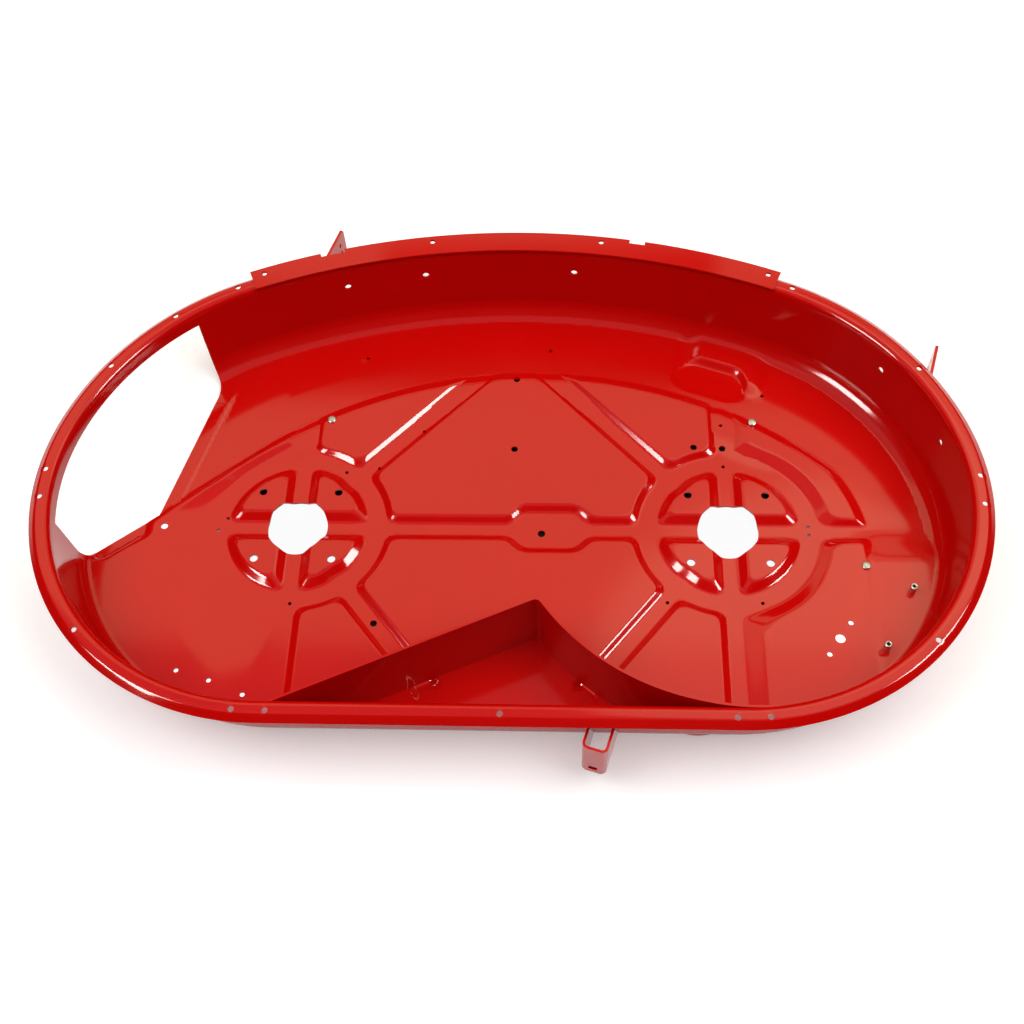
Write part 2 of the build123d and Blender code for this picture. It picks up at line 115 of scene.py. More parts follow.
def rim_inset(x, y):
    """Distance of plan points from the rim, by the sector of the arc that faces them."""
    px = np.abs(x - RIM_SHIFT)
    arcs = ((END_CENTRE, END_RADIUS), (CORNER_CENTRE, CORNER_RADIUS), (FRONT_CENTRE, FRONT_RADIUS))
    ways = [(px - centre[0], y - centre[1]) for centre, _ in arcs]
    inset_end, inset_corner, inset_front = [radius - np.hypot(*way) for way, (_, radius) in zip(ways, arcs)]
    to_end, to_corner = ways[0], ways[1]
    end_dir, turn_dir = turned(END_SWEEP), turned(TURN)
    past_end = end_dir[0] * to_end[1] - end_dir[1] * to_end[0] > 0
    past_corner = turn_dir[0] * to_corner[1] - turn_dir[1] * to_corner[0] > 0
    ahead = np.where(past_corner, inset_front, inset_corner)
    low = np.where(px < END_OFFSET, y + REAR_REACH, inset_end)
    inset = np.where(past_end, ahead, low)
    return np.where((px < END_OFFSET) & (y > 0), inset_front, inset)


def blend_min(a, b, k):
    """Smaller of two distances, rounded over where they differ by less than k."""
    h = np.maximum(k - np.abs(a - b), 0.0) / np.maximum(k, 1e-6)
    return np.minimum(a, b) - h * h * k * 0.25


def rise(value, low, high):
    """Smooth climb from 0 at low to 1 at high, level at both."""
    t = np.clip((value - low) / (high - low), 0.0, 1.0)
    return t * t * (3.0 - 2.0 * t)


def slope(value, low, high):
    """Climb from 0 at low to 1 at high: a straight flank with a short round at each end."""
    t = np.clip((value - low) / (high - low), 0.0, 1.0)
    level = 1.0 / (1.0 - FLANK_ROUND)
    early = level * t * t / (2 * FLANK_ROUND)
    late = 1.0 - level * (1.0 - t) ** 2 / (2 * FLANK_ROUND)
    middle = level * (t - FLANK_ROUND / 2)
    return np.where(t < FLANK_ROUND, early, np.where(t > 1 - FLANK_ROUND, late, middle))


def bar(x, y, start, end, half):
    """Distance to a straight bead with round ends: to its middle line, less half its width."""
    start, end = np.asarray(start, float), np.asarray(end, float)
    run = end - start
    t = np.clip(((x - start[0]) * run[0] + (y - start[1]) * run[1]) / (run @ run), 0.0, 1.0)
    return np.hypot(x - start[0] - t * run[0], y - start[1] - t * run[1]) - half


def ray(angle, length, origin=(0.0, 0.0)):
    """Point at a length along an angle in degrees from an origin."""
    a = np.radians(angle)
    return (origin[0] + length * np.cos(a), origin[1] + length * np.sin(a))


BEAD_HALF = 17.0
RING_MIDDLE, RING_HALF = 104.5, 19.5
FRONT_BEAD, REAR_BEAD = 47.0, 51.0
FRONT_BEAD_END, REAR_BEAD_END = 420.0, 290.0
UPRIGHT_FRONT, UPRIGHT_REAR = 320.0, 240.0
CROSS_BEAD = ((-380.0, 0.0), (520.0, 0.0))
PAD_ROUND = 13.0
SLOPE_FROM, SLOPE_TO, FLANK_ROUND = -9.0, 2.0, 0.28
FLANK = SLOPE_TO - SLOPE_FROM
# How much longer the flanks outside the left and right ring are, ahead and behind, and where that changes.
SOFT_RUNS = {-1.0: (20.0, 66.0, 75.0), 1.0: (14.0, 13.0, -40.0)}
RING_RUN, REAR_EXTRA, SOFT_CHANGE, SOFT_REACH, SOFT_OUT = 10.0, 6.0, 60.0, 12.0, (5.0, 45.0)
STEP_RUN, STEP_ROUND = 5.0, 5.0
MOUTH_SHARE, MOUTH_FADE, MOUTH_FRONT = 0.35, (25.0, 70.0), (90.0, 130.0)
INNER_RISE, INNER_RUN, INNER_EDGE = 2.5, 4.0, (84.0, 102.0)
HUB_X, HUB_HALF, HUB_FLAT, HUB_TALL, HUB_ROUND = 49.0, 59.0, 42.0, 35.0, 14.0
STEP_CENTRE, STEP_RADIUS = (25.0, -334.0), 580.0
STEP_END_CENTRE, STEP_END_RADIUS, STEP_END_FROM = (233.0, -27.5), 220.0, 265.0
LAND_FRONT, LAND_REAR, LAND_SHARE = (-391.0, 228.0), (-440.0, 45.0), 0.4
LAND_FLANK, LAND_FADE = (-6.0, 2.0), (198.0, 236.0)
STUB_ENDS, STUB_HALF, STUB_SHARE, STUB_FLANK = ((-392.0, 0.0), (-427.0, 0.0)), 15.0, 0.35, (-8.0, 4.0)
CHUTE_FRONT, CHUTE_CORNER, CHUTE_REAR = np.array([(-410.0, 228.0), (-464.0, 16.0), (-545.0, -47.0)])
CHUTE_FRONT_TURN, CHUTE_REAR_TURN, CHUTE_FRONT_ROUND, CHUTE_REAR_ROUND = 118.0, 195.0, 60.0, 14.0
CHUTE_REACH = 200.0
CHUTE_BACK = (CHUTE_REAR - CHUTE_CORNER) / np.linalg.norm(CHUTE_REAR - CHUTE_CORNER)
RIB_FROM, RIB_TO, RIB_HALF = 34.0, 84.0, 17.0
RIB_ENDS = CHUTE_CORNER + RIB_FROM * CHUTE_BACK, CHUTE_CORNER + RIB_TO * CHUTE_BACK


def eased(distance, run):
    """A bead's distance drawn out beyond its bottom, so that its flank runs on by that much more."""
    drawn = SLOPE_FROM + (distance - SLOPE_FROM) * FLANK / (FLANK + run)
    return np.where(distance > SLOPE_FROM, drawn, distance)


def slant_ends(side):
    """Ends of a ring's two slanting beads, front and rear: from its middle line out along their angles."""
    centre = (side * SPINDLE_X, 0.0)
    front, rear = 90.0 + side * (90.0 - FRONT_BEAD), -90.0 - side * (90.0 - REAR_BEAD)
    return [(ray(turn, RING_MIDDLE, centre), ray(turn, end, centre))
            for turn, end in ((front, FRONT_BEAD_END), (rear, REAR_BEAD_END))]


def raised_distance(x, y):
    """How far a plan point lies inside the raised plate: least of its distances to the beads and the step."""
    d = np.full(np.shape(x), np.inf)
    for side in (-1.0, 1.0):
        centre = (side * SPINDLE_X, 0.0)
        reach = np.hypot(x - centre[0], y) - RING_MIDDLE
        out = side * x - SPINDLE_X
        front_run, rear_run, start = SOFT_RUNS[side]
        ring_run = RING_RUN + (rear_run - RING_RUN) * rise(start - y, 0.0, SOFT_CHANGE)
        beyond = rise(reach, -SOFT_REACH, SOFT_REACH) * (out > 0)
        ahead, behind = (bar(x, y, centre, (centre[0], end), BEAD_HALF)
                         for end in (UPRIGHT_FRONT, -UPRIGHT_REAR))
        beads = [
            eased(np.abs(reach) - RING_HALF, ring_run * rise(out, *SOFT_OUT) * (reach > 0)),
            eased(ahead, front_run * beyond),
            eased(behind, (REAR_EXTRA + rear_run) * beyond),
            *(bar(x, y, *ends, BEAD_HALF) for ends in slant_ends(side)),
        ]
        for bead in beads:
            d = blend_min(d, bead, PAD_ROUND)
    slant = np.array([HUB_TALL, HUB_HALF - HUB_FLAT]) / np.hypot(HUB_TALL, HUB_HALF - HUB_FLAT)
    side_gap = (np.abs(x - HUB_X) - HUB_HALF) * slant[0] + np.abs(y) * slant[1]
    hub = -blend_min(-side_gap, HUB_TALL - np.abs(y), HUB_ROUND)
    for bead in (bar(x, y, *CROSS_BEAD, BEAD_HALF), hub, bar(x, y, *RIB_ENDS, RIB_HALF)):
        d = blend_min(d, bead, PAD_ROUND)
    return blend_min(d, eased(plate_distance(x, y), STEP_RUN), STEP_ROUND)


def plate_distance(x, y):
    """Distance inside the plate's edge: the long front arc, the right end's arc and the straight run to the
    discharge corner."""
    arc = STEP_RADIUS - np.hypot(x - STEP_CENTRE[0], y - STEP_CENTRE[1])
    reach = CHUTE_CORNER - STEP_CENTRE
    swing = np.arctan2(reach[1], reach[0]) - np.arccos(STEP_RADIUS / np.linalg.norm(reach))
    normal = np.array([np.cos(swing), np.sin(swing)])
    touch = np.array(STEP_CENTRE) + STEP_RADIUS * normal
    past = (x - touch[0]) * -normal[1] + (y - touch[1]) * normal[0] > 0
    line = -((x - touch[0]) * normal[0] + (y - touch[1]) * normal[1])
    d = np.where(past, line, arc)
    end = STEP_END_RADIUS - np.hypot(x - STEP_END_CENTRE[0], y - STEP_END_CENTRE[1])
    d = np.where((x > STEP_END_FROM) & (y > STEP_END_CENTRE[1]), np.minimum(d, end), d)
    return np.where((x > STEP_END_FROM) & (y <= STEP_END_CENTRE[1]),
                    np.minimum(d, STEP_END_CENTRE[0] + STEP_END_RADIUS - x), d)


def land_height(x, y):
    """Share of the plate's height that the narrow land along the opening keeps, fading at its front end."""
    run = np.subtract(LAND_FRONT, LAND_REAR)
    run = run / np.linalg.norm(run)
    inside = (y - LAND_FRONT[1]) * run[0] - (x - LAND_FRONT[0]) * run[1]
    return LAND_SHARE * slope(inside, *LAND_FLANK) * (1.0 - rise(y, *LAND_FADE))


FOOT_RADIUS = 26.0
WALL_DRAFT = np.radians(4.0)
FLANGE_WIDTH, FLANGE_BEND = 26.0, 8.0
LIP_RUN, LIP_DROP, LIP_BEND, LIP_TRIM = 9.0, 7.0, 5.0, 0.15
FLOOR = -BEAD_DEPTH
WALL_FOOT = FLANGE_WIDTH + (MOUTH - FLOOR) * np.tan(WALL_DRAFT)
FOOT_INSET = WALL_FOOT + FOOT_RADIUS * np.tan((np.pi / 2 - WALL_DRAFT) / 2)
FOOT_SPLIT = np.radians(55.0)
SEAM_INSET = FOOT_INSET - FOOT_RADIUS * np.sin(FOOT_SPLIT)
POCKET_CENTRE, POCKET_TURN, POCKET_DEPTH = (270.0, 250.0), np.radians(-20.0), 3.35
POCKET_LOW, POCKET_NEAR, POCKET_FAR, POCKET_CORE, POCKET_END = 14.0, 24.0, 40.0, 22.0, 33.0
POCKET_BRIM, POCKET_SHALLOW, BRIM_SOFT, BRIM_SOFT_RUN = (0.7, 1.02), 0.9, 0.14, 12.0
CHANNEL_ENDS, CHANNEL_HALF = ((234.0, 266.0), (250.0, 340.0)), 16.0
CHANNEL_DEPTH, CHANNEL_FLANK = 2.5, (-14.0, 5.0)
SHELF_RISE, SHELF_NEAR, SHELF_LEFT = 5.0, (-6.0, 22.0), (236.0, 262.0)
SHELF_FADE, SHELF_RIGHT = (1.3, 2.4), (50.0, 82.0)
TUNNEL_FALL, TUNNEL_WIDTH, FALL_START = 0.021, 120.0, (-10.0, 80.0)
RAMP_SIDE, RAMP_ALONG = (-8.0, 50.0), (412.0, 475.0)
FOOT_BREAK, FOOT_BLEND, FOOT_CLEAR, FOOT_STOP, SEAM_CLEAR = 0.3, 4.0, 2.0, 0.97, 1.0


def pocket_reach(x, y):
    """Place of a point in the pocket: its share of the way from the lowest line to the edge, how far it is
    along that line and how far ahead of it. The ends are round."""
    over = x - POCKET_CENTRE[0], y - POCKET_CENTRE[1]
    along = over[0] * np.cos(POCKET_TURN) + over[1] * np.sin(POCKET_TURN)
    ahead = over[1] * np.cos(POCKET_TURN) - over[0] * np.sin(POCKET_TURN) + POCKET_LOW
    side = np.where(ahead > 0, ahead / POCKET_FAR, -ahead / POCKET_NEAR)
    end = np.maximum(np.abs(along) - POCKET_CORE, 0.0) / POCKET_END
    return np.hypot(side, end), along, ahead


def pocket_press(x, y):
    """How deep the pocket is pressed: hardly at its near edge, fully at its far one, with a brim all round,
    and a channel from its left end up to the wall."""
    reach, _, ahead = pocket_reach(x, y)
    depth = POCKET_SHALLOW + (POCKET_DEPTH - POCKET_SHALLOW) * rise(ahead, -POCKET_NEAR, POCKET_NEAR)
    channel = bar(x, y, *CHANNEL_ENDS, CHANNEL_HALF)
    brim = slope(reach, POCKET_BRIM[0] - BRIM_SOFT * rise(-ahead, 0.0, BRIM_SOFT_RUN), POCKET_BRIM[1])
    return np.maximum(depth * (1.0 - brim), CHANNEL_DEPTH * (1.0 - rise(channel, *CHANNEL_FLANK)))


def shelf_height(x, y):
    """Rise of the floor ahead of the pocket: steep at the pocket's brim, then fading out all round."""
    reach, along, ahead = pocket_reach(x, y)
    edge = slope(reach, *POCKET_BRIM) * rise(ahead, *SHELF_NEAR) * rise(x, *SHELF_LEFT)
    return SHELF_RISE * edge * (1.0 - rise(reach, *SHELF_FADE)) * (1.0 - rise(along, *SHELF_RIGHT))


def inner_pad(x, y):
    """One within each ring, falling to zero at the middle of its bead."""
    return 1.0 - rise(np.hypot(np.abs(x) - SPINDLE_X, y), *INNER_EDGE)


def floor_height(x, y):
    """Height of the floor: beads sunk by a flank of the raised distance, the tunnel falling a little to the
    front, its end ramped up, a pocket and its channel sunk deeper, and the foot radius rising to the wall."""
    raised = raised_distance(x, y)
    inner = inner_pad(x, y)
    sunk = 1.0 - slope(raised, SLOPE_FROM, SLOPE_TO + INNER_RUN * inner)
    stub = STUB_SHARE * (1.0 - slope(bar(x, y, *STUB_ENDS, STUB_HALF), *STUB_FLANK))
    edge = plate_distance(x, y)
    mouth = MOUTH_SHARE * slope(edge, SLOPE_FROM, SLOPE_TO + STEP_RUN) * (1.0 - rise(edge, *MOUTH_FADE))
    lift = np.maximum(land_height(x, y), mouth * rise(y, *MOUTH_FRONT))
    sunk = np.minimum(np.maximum(sunk, stub), 1.0 - lift)
    ramp = 1.0 - rise(-y, *RAMP_SIDE) * rise(x, *RAMP_ALONG)
    fall = shelf_height(x, y) - TUNNEL_FALL * np.clip(-edge, 0.0, TUNNEL_WIDTH) * rise(y, *FALL_START)
    plate = -BEAD_DEPTH * sunk * ramp + INNER_RISE * inner * (1.0 - sunk) + fall
    drop = np.clip(FOOT_INSET - rim_inset(x, y), 0.0, FOOT_RADIUS * FOOT_STOP)
    keep = 1.0 - rise(drop, 0.0, FOOT_RADIUS * np.sin(FOOT_SPLIT) - SEAM_CLEAR)
    foot = FLOOR + FOOT_RADIUS - np.sqrt(FOOT_RADIUS**2 - drop**2) + (fall - FOOT_BREAK) * keep
    width = FOOT_BLEND * np.clip((plate - FLOOR - FOOT_CLEAR) / BEAD_DEPTH, 0.0, 1.0)
    return -blend_min(-foot, -plate, width) - pocket_press(x, y) * keep * sunk


def arc_run(centre, radius, start, end, count):
    """Points along an arc of the section, in inset and height."""
    a = np.linspace(start, end, count)
    return np.stack([centre[0] + radius * np.sin(a), centre[1] - radius * np.cos(a)], axis=-1)


# Section of the edge from the foot's seam to the lip: foot radius, drafted wall, flange bend, flange, lip.
bend_back = FLANGE_BEND * np.tan((np.pi / 2 - WALL_DRAFT) / 2)
lip_angle = np.arctan2(LIP_DROP, LIP_RUN)
lip_back = LIP_BEND * np.tan(lip_angle / 2)
steep = np.pi / 2 - WALL_DRAFT
foot_arc = arc_run((FOOT_INSET, FLOOR + FOOT_RADIUS), FOOT_RADIUS, -FOOT_SPLIT, -steep, 9)
bend_arc = arc_run((FLANGE_WIDTH - bend_back, MOUTH - FLANGE_BEND), FLANGE_BEND, np.pi - steep, np.pi, 11)
lip_arc = arc_run((LIP_RUN + lip_back, MOUTH - LIP_BEND), LIP_BEND, np.pi, np.pi + lip_angle, 6)
wall_run = np.linspace(foot_arc[-1], bend_arc[0], 9)[1:-1]
flange_run = np.linspace(bend_arc[-1], lip_arc[0], 4)[1:-1]
lip_run = np.linspace(lip_arc[-1], (LIP_TRIM, MOUTH - LIP_DROP), 4)[1:]
SECTION = np.concatenate([foot_arc, wall_run, bend_arc, flange_run, lip_arc, lip_run])
SECTION_T = np.concatenate([[0.0], np.cumsum(np.hypot(*np.diff(SECTION, axis=0).T))])


def section_at(t):
    """Inset, height and the section's direction at a distance along it."""
    inset = np.interp(t, SECTION_T, SECTION[:, 0])
    height = np.interp(t, SECTION_T, SECTION[:, 1])
    heading = np.gradient(SECTION, SECTION_T, axis=0)
    du = np.interp(t, SECTION_T, heading[:, 0])
    dz = np.interp(t, SECTION_T, heading[:, 1])
    return inset, height, du, dz


def wall_distance(z):
    """Distance along the section at which the wall reaches a height."""
    climb = len(foot_arc) + len(wall_run) + 1
    return np.interp(z, SECTION[:climb, 1], SECTION_T[:climb])


def ring_loop(cx, cy, radius, step=2.2):
    """Points round a punched hole."""
    count = int(np.clip(2 * np.pi * radius / step, 10, 96))
    a = np.linspace(0.0, 2 * np.pi, count, endpoint=False)
    return [cx, cy] + radius * circle(a)


def inside_polygon(points, polygon):
    """Whether points lie in a polygon, by counting the edges that a level line crosses."""
    inside = np.zeros(len(points), bool)
    for a, b in zip(polygon, np.roll(polygon, -1, axis=0)):
        if a[1] == b[1]:
            continue
        crosses = (a[1] > points[:, 1]) != (b[1] > points[:, 1])
        inside ^= crosses & (points[:, 0] < (b[0] - a[0]) * (points[:, 1] - a[1]) / (b[1] - a[1]) + a[0])
    return inside


def near_line(points, line, reach):
    """Whether points lie within a reach of a closed line's corners or edges."""
    hit = np.zeros(len(points), bool)
    low, high = line.min(axis=0) - reach, line.max(axis=0) + reach
    close = np.nonzero(((points > low) & (points < high)).all(axis=1))[0]
    if len(close) == 0:
        return hit
    best = np.full(len(close), np.inf)
    for a, b in zip(line, np.roll(line, -1, axis=0)):
        run = b - a
        t = np.clip((points[close] - a) @ run / (run @ run), 0.0, 1.0)
        best = np.minimum(best, np.hypot(*(points[close] - a - t[:, None] * run).T))
    hit[close] = best < reach
    return hit


def fill_outline(border, holes, points, reach):
    """Triangles over a flat outline with holes: a constrained Delaunay net of the border, the hole loops
    and the inner points that keep clear of them."""
    keep = inside_polygon(points, border) & ~near_line(points, border, reach)
    for hole in holes:
        keep &= ~inside_polygon(points, hole) & ~near_line(points, hole, reach)
    loops = [border] + holes
    sizes = np.cumsum([0] + [len(loop) for loop in loops])
    edges = [(i, i + 1 if i + 1 < end else start)
             for start, end in zip(sizes, sizes[1:]) for i in range(start, end)]
    flat = np.concatenate(loops + [points[keep]])
    found = delaunay_2d_cdt([Vector(p) for p in flat.tolist()], edges, [], 0, 1e-6)
    plan = np.array([v[:] for v in found[0]])
    net = np.array(found[2])
    middle = plan[net].mean(axis=1)
    good = inside_polygon(middle, border)
    for hole in holes:
        good &= ~inside_polygon(middle, hole)
    net = net[good]
    a, b, c = plan[net[:, 0]], plan[net[:, 1]], plan[net[:, 2]]
    turn = (b[:, 0] - a[:, 0]) * (c[:, 1] - a[:, 1]) - (b[:, 1] - a[:, 1]) * (c[:, 0] - a[:, 0])
    net[turn < 0] = net[turn < 0][:, ::-1]
    return plan, net


def add_object(name, data):
    """Puts an object with its data into the scene."""
    made = bpy.data.objects.new(name, data)
    bpy.context.scene.collection.objects.link(made)
    return made


def sheet_piece(name, patches, thickness):
    """Mesh of a sheet: the seen face, the same net moved back along the normals, and a strip round every
    free edge. A patch is points, unit normals and triangles; patches that share an edge are welded."""
    spot = np.concatenate([p[0] for p in patches])
    normal = np.concatenate([p[1] for p in patches])
    starts = np.cumsum([0] + [len(p[0]) for p in patches])
    net = np.concatenate([p[2] + start for p, start in zip(patches, starts)])
    _, first, back = np.unique(np.round(spot, 2), axis=0, return_index=True, return_inverse=True)
    spot, normal, net = spot[first], normal[first], back.reshape(-1)[net]
    net = net[(net[:, 0] != net[:, 1]) & (net[:, 1] != net[:, 2]) & (net[:, 2] != net[:, 0])]
    facing = np.cross(spot[net[:, 1]] - spot[net[:, 0]], spot[net[:, 2]] - spot[net[:, 0]])
    wrong = (facing * normal[net].sum(axis=1)).sum(axis=1) < 0
    net[wrong] = net[wrong][:, ::-1]
    count = len(spot)
    sides = np.concatenate([net[:, [0, 1]], net[:, [1, 2]], net[:, [2, 0]]])
    code, mirror = sides[:, 0] * count + sides[:, 1], sides[:, 1] * count + sides[:, 0]
    free = sides[~np.isin(code, mirror)]
    strip = np.stack([free[:, 1], free[:, 0], free[:, 0] + count, free[:, 1] + count], axis=-1)
    points = np.concatenate([spot, spot - thickness * normal])
    corners = np.concatenate([net.ravel(), (net[:, ::-1] + count).ravel(), strip.ravel()])
    totals = np.concatenate([np.full(2 * len(net), 3), np.full(len(strip), 4)])
    across = np.cross(points[strip[:, 1]] - points[strip[:, 0]], points[strip[:, 3]] - points[strip[:, 0]])
    across = across / np.maximum(np.linalg.norm(across, axis=1, keepdims=True), 1e-9)
    loop_normals = np.concatenate([normal[net.ravel()], -normal[net[:, ::-1].ravel()],
                                   np.repeat(across, 4, axis=0)])
    mesh = bpy.data.meshes.new(name)
    mesh.vertices.add(len(points))
    mesh.vertices.foreach_set("co", (points * 0.001).ravel())
    mesh.loops.add(len(corners))
    mesh.loops.foreach_set("vertex_index", corners.astype(np.int32))
    mesh.polygons.add(len(totals))
    mesh.polygons.foreach_set("loop_start", np.concatenate([[0], np.cumsum(totals)[:-1]]).astype(np.int32))
    mesh.polygons.foreach_set("loop_total", totals.astype(np.int32))
    mesh.update(calc_edges=True)
    mesh.polygons.foreach_set("use_smooth", np.ones(len(totals), bool))
    mesh.normals_split_custom_set(loop_normals.tolist())
    return add_object(name, mesh)


def line_points(a, b, step):
    """Points along a straight edge, without its end."""
    count = max(int(np.linalg.norm(np.subtract(b, a)) / step), 1)
    return np.linspace(a, b, count, endpoint=False)


def round_corner(a, corner, b, radius):
    """Points of the arc that rounds a corner between two straight edges."""
    to_a, to_b = (a - corner) / np.linalg.norm(a - corner), (b - corner) / np.linalg.norm(b - corner)
    half = np.arccos(np.clip(to_a @ to_b, -1.0, 1.0)) / 2
    middle = (to_a + to_b) / np.linalg.norm(to_a + to_b)
    centre = corner + middle * radius / np.sin(half)
    first, last = (corner + way * radius / np.tan(half) - centre for way in (to_a, to_b))
    spin = np.arctan2(first[0] * last[1] - first[1] * last[0], first @ last)
    a0 = np.arctan2(first[1], first[0])
    return centre + radius * circle(np.linspace(a0, a0 + spin, 9))


HOOP = 22.0
SEAM_STEP = 8.0
fine_s = np.linspace(0.0, RIM_LENGTH, 12001)


def rim_length_at(x, y, inset):
    """Rim length whose inset point lies nearest to a plan point."""
    spots, _, _ = rim_place(fine_s, np.full(fine_s.shape, inset))
    return fine_s[np.argmin(np.hypot(spots[:, 0] - x, spots[:, 1] - y))]


def cut_path(corner, turn, radius):
    """Plan of one end of the discharge cut, from outside the rim round its corner to the opening's foot."""
    out = np.array(ray(turn, CHUTE_REACH, corner))
    bend = round_corner(out, corner, CHUTE_CORNER, radius)
    inner = line_points(bend[-1], CHUTE_CORNER, 6.0)[1:]
    return np.concatenate([line_points(out, bend[0], 1.0), bend, inner])


def crossing(path, inset):
    """Arc length where the plan of the discharge cut meets the rim's curve at an inset."""
    depth = rim_inset(path[:, 0], path[:, 1])
    inward = np.maximum.accumulate(depth)
    x, y = (np.interp(inset, inward, path[:, k]) for k in (0, 1))
    return rim_length_at(x, y, inset)


front_path = cut_path(CHUTE_FRONT, CHUTE_FRONT_TURN, CHUTE_FRONT_ROUND)
rear_path = cut_path(CHUTE_REAR, CHUTE_REAR_TURN, CHUTE_REAR_ROUND)
hoop_t = wall_distance(MOUTH - HOOP)
cut_t = np.linspace(0.0, hoop_t, 14)
cut_front = np.array([crossing(front_path, u) for u in section_at(cut_t)[0]])
cut_rear = np.array([crossing(rear_path, u) for u in section_at(cut_t)[0]])
seam_s = np.linspace(cut_rear[0], cut_front[0], int((cut_front[0] - cut_rear[0]) / SEAM_STEP))
seam, _, _ = rim_place(seam_s, np.full(seam_s.shape, SEAM_INSET))

# Plan of the floor: its border follows the seam and the discharge cut, and every punched hole is a loop.
BOLT_HALF = 50.0
BOLT_PLACES = [(x + i * BOLT_HALF, j * BOLT_HALF)
               for x in (-SPINDLE_X, SPINDLE_X) for i in (-1, 1) for j in (-1, 1)]
STUD_PLACES = ((-250.0, 168.0), (320.0, 167.0), (448.5, -51.5))
TUBE_PLACES = ((501.0, -86.0), (460.0, -165.0))
PORT, PORT_TURN, PORT_PITCH = (406.2, -152.2), 55.0, 26.0
FLOOR_HOLES = (
    (SPINDLE_HOLE, ((-SPINDLE_X, 0.0), (SPINDLE_X, 0.0))),
    (5.2, BOLT_PLACES),
    (5.0, ((39.0, -5.0),)),
    (4.5, ((0.8, 122.0), (0.8, 238.0), (278.5, 128.5), (240.0, 126.7), (-453.7, -1.4), (-168.5, -136.4))),
    (2.4, ((278.5, 165.0), (278.5, 100.0), (-123.0, 154.0), (-223.0, 87.0), (-179.5, 93.5), (-373.0, 14.0),
           (-383.0, -4.0), (-277.0, -110.0), (382.0, 8.0), (382.0, -4.0), (198.0, -103.0), (316.5, -102.5),
           (-211.0, 280.0), (47.0, 294.0), (338.0, 217.0))),
    (3.0, ((-405.0, -206.0), (-363.0, -218.5), (-320.0, -235.0))),
    (4.0, STUD_PLACES),
    (4.4, TUBE_PLACES),
    (6.2, (PORT,)),
    (3.4, (ray(PORT_TURN, PORT_PITCH, PORT), ray(PORT_TURN, -PORT_PITCH, PORT))),
)
floor_holes = [ring_loop(*place, radius) for radius, places in FLOOR_HOLES for place in places]

SEAM_GAP = 0.5
front_inside, rear_inside = (path[rim_inset(*path.T) > SEAM_INSET + SEAM_GAP]
                             for path in (front_path, rear_path))
chute_line = np.concatenate([seam[-1:], front_inside, [CHUTE_CORNER], rear_inside[::-1]])
floor_border = np.concatenate([seam[:-1], chute_line])

# The floor's net: a grid that is closer where the floor bends.
GRID, FLOOR_SPANS = 3.0, ((-582.0, 576.0), (-294.0, 378.0))
SOME_BEND, FULL_BEND = 0.004, 0.016
grid_x, grid_y = np.meshgrid(*(np.arange(*span, GRID) for span in FLOOR_SPANS), indexing="ij")
grid_z = floor_height(grid_x, grid_y)
bent = np.maximum(*(np.abs(np.gradient(np.gradient(grid_z, GRID, axis=k), GRID, axis=k)) for k in (0, 1)))
for axis in (0, 1):
    bent = np.maximum(bent, np.maximum(np.roll(bent, 1, axis), np.roll(bent, -1, axis)))
rows, columns = np.indices(bent.shape)
fourth = (rows % 4 == 0) & (columns % 4 == 0)
second = (rows % 2 == 0) & (columns % 2 == 0)
chosen = fourth | second & (bent > SOME_BEND) | (bent > FULL_BEND)
floor_points = np.stack([grid_x[chosen], grid_y[chosen]], axis=-1)

# Along the slanting beads and the rings the grid gives way to rows that run with the flanks.
# A band is how far the rows lie from the middle line; the steps are along the row and from row to row.
BEAD_BAND, BEAD_STEP, BEAD_GAP = (5.0, 21.0), 4.0, 1.4
RING_BAND, RING_STEP, RING_GAP = (7.5, 26.0), 3.4, 1.8
BAND_CLEAR, SAME_SPOT = 1.0, 0.7


def lattice(first, second):
    """Points of a net of two sets of distances, the second running faster."""
    return np.stack(np.meshgrid(first, second, indexing="ij"), axis=-1).reshape(-1, 2)


def both_sides(band, gap):
    """Distances across a band on both sides of a middle line."""
    one_side = np.arange(*band, gap)
    return np.concatenate([-one_side[::-1], one_side])


def in_band(distance, band):
    """Whether distances fall in a band or just beside it."""
    return (distance > band[0] - BAND_CLEAR) & (distance < band[1] + BAND_CLEAR)


def on_plate(points):
    """Whether plan points lie on the raised plate, clear of its step and of the foot radius."""
    return (plate_distance(*points.T) > 0.0) & (rim_inset(*points.T) > FOOT_INSET)


floor_rows = []
for side in (-1.0, 1.0):
    for start, end in slant_ends(side):
        length = np.linalg.norm(np.subtract(end, start))
        aim = np.subtract(end, start) / length
        off, along = lattice(both_sides(BEAD_BAND, BEAD_GAP), np.arange(0.0, length, BEAD_STEP)).T[..., None]
        beside = start + along * aim + off * np.array([-aim[1], aim[0]])
        floor_rows.append(beside[on_plate(beside)])
        replaced = in_band(bar(*floor_points.T, start, end, 0.0), BEAD_BAND) & on_plate(floor_points)
        floor_points = floor_points[~replaced]
    spindle = np.array([side * SPINDLE_X, 0.0])
    swing = RING_STEP / RING_MIDDLE
    off, angle = lattice(both_sides(RING_BAND, RING_GAP), np.arange(0.0, 2 * np.pi - swing / 2, swing)).T
    floor_rows.append(spindle + (RING_MIDDLE + off)[:, None] * circle(angle))
    reach = np.abs(np.hypot(*(floor_points - spindle).T) - RING_MIDDLE)
    floor_points = floor_points[~in_band(reach, RING_BAND)]
floor_points = np.concatenate(floor_rows + [floor_points])
_, first_at = np.unique(np.round(floor_points / SAME_SPOT), axis=0, return_index=True)
floor_points = floor_points[first_at]
plan, floor_net = fill_outline(floor_border, floor_holes, floor_points, 1.5)


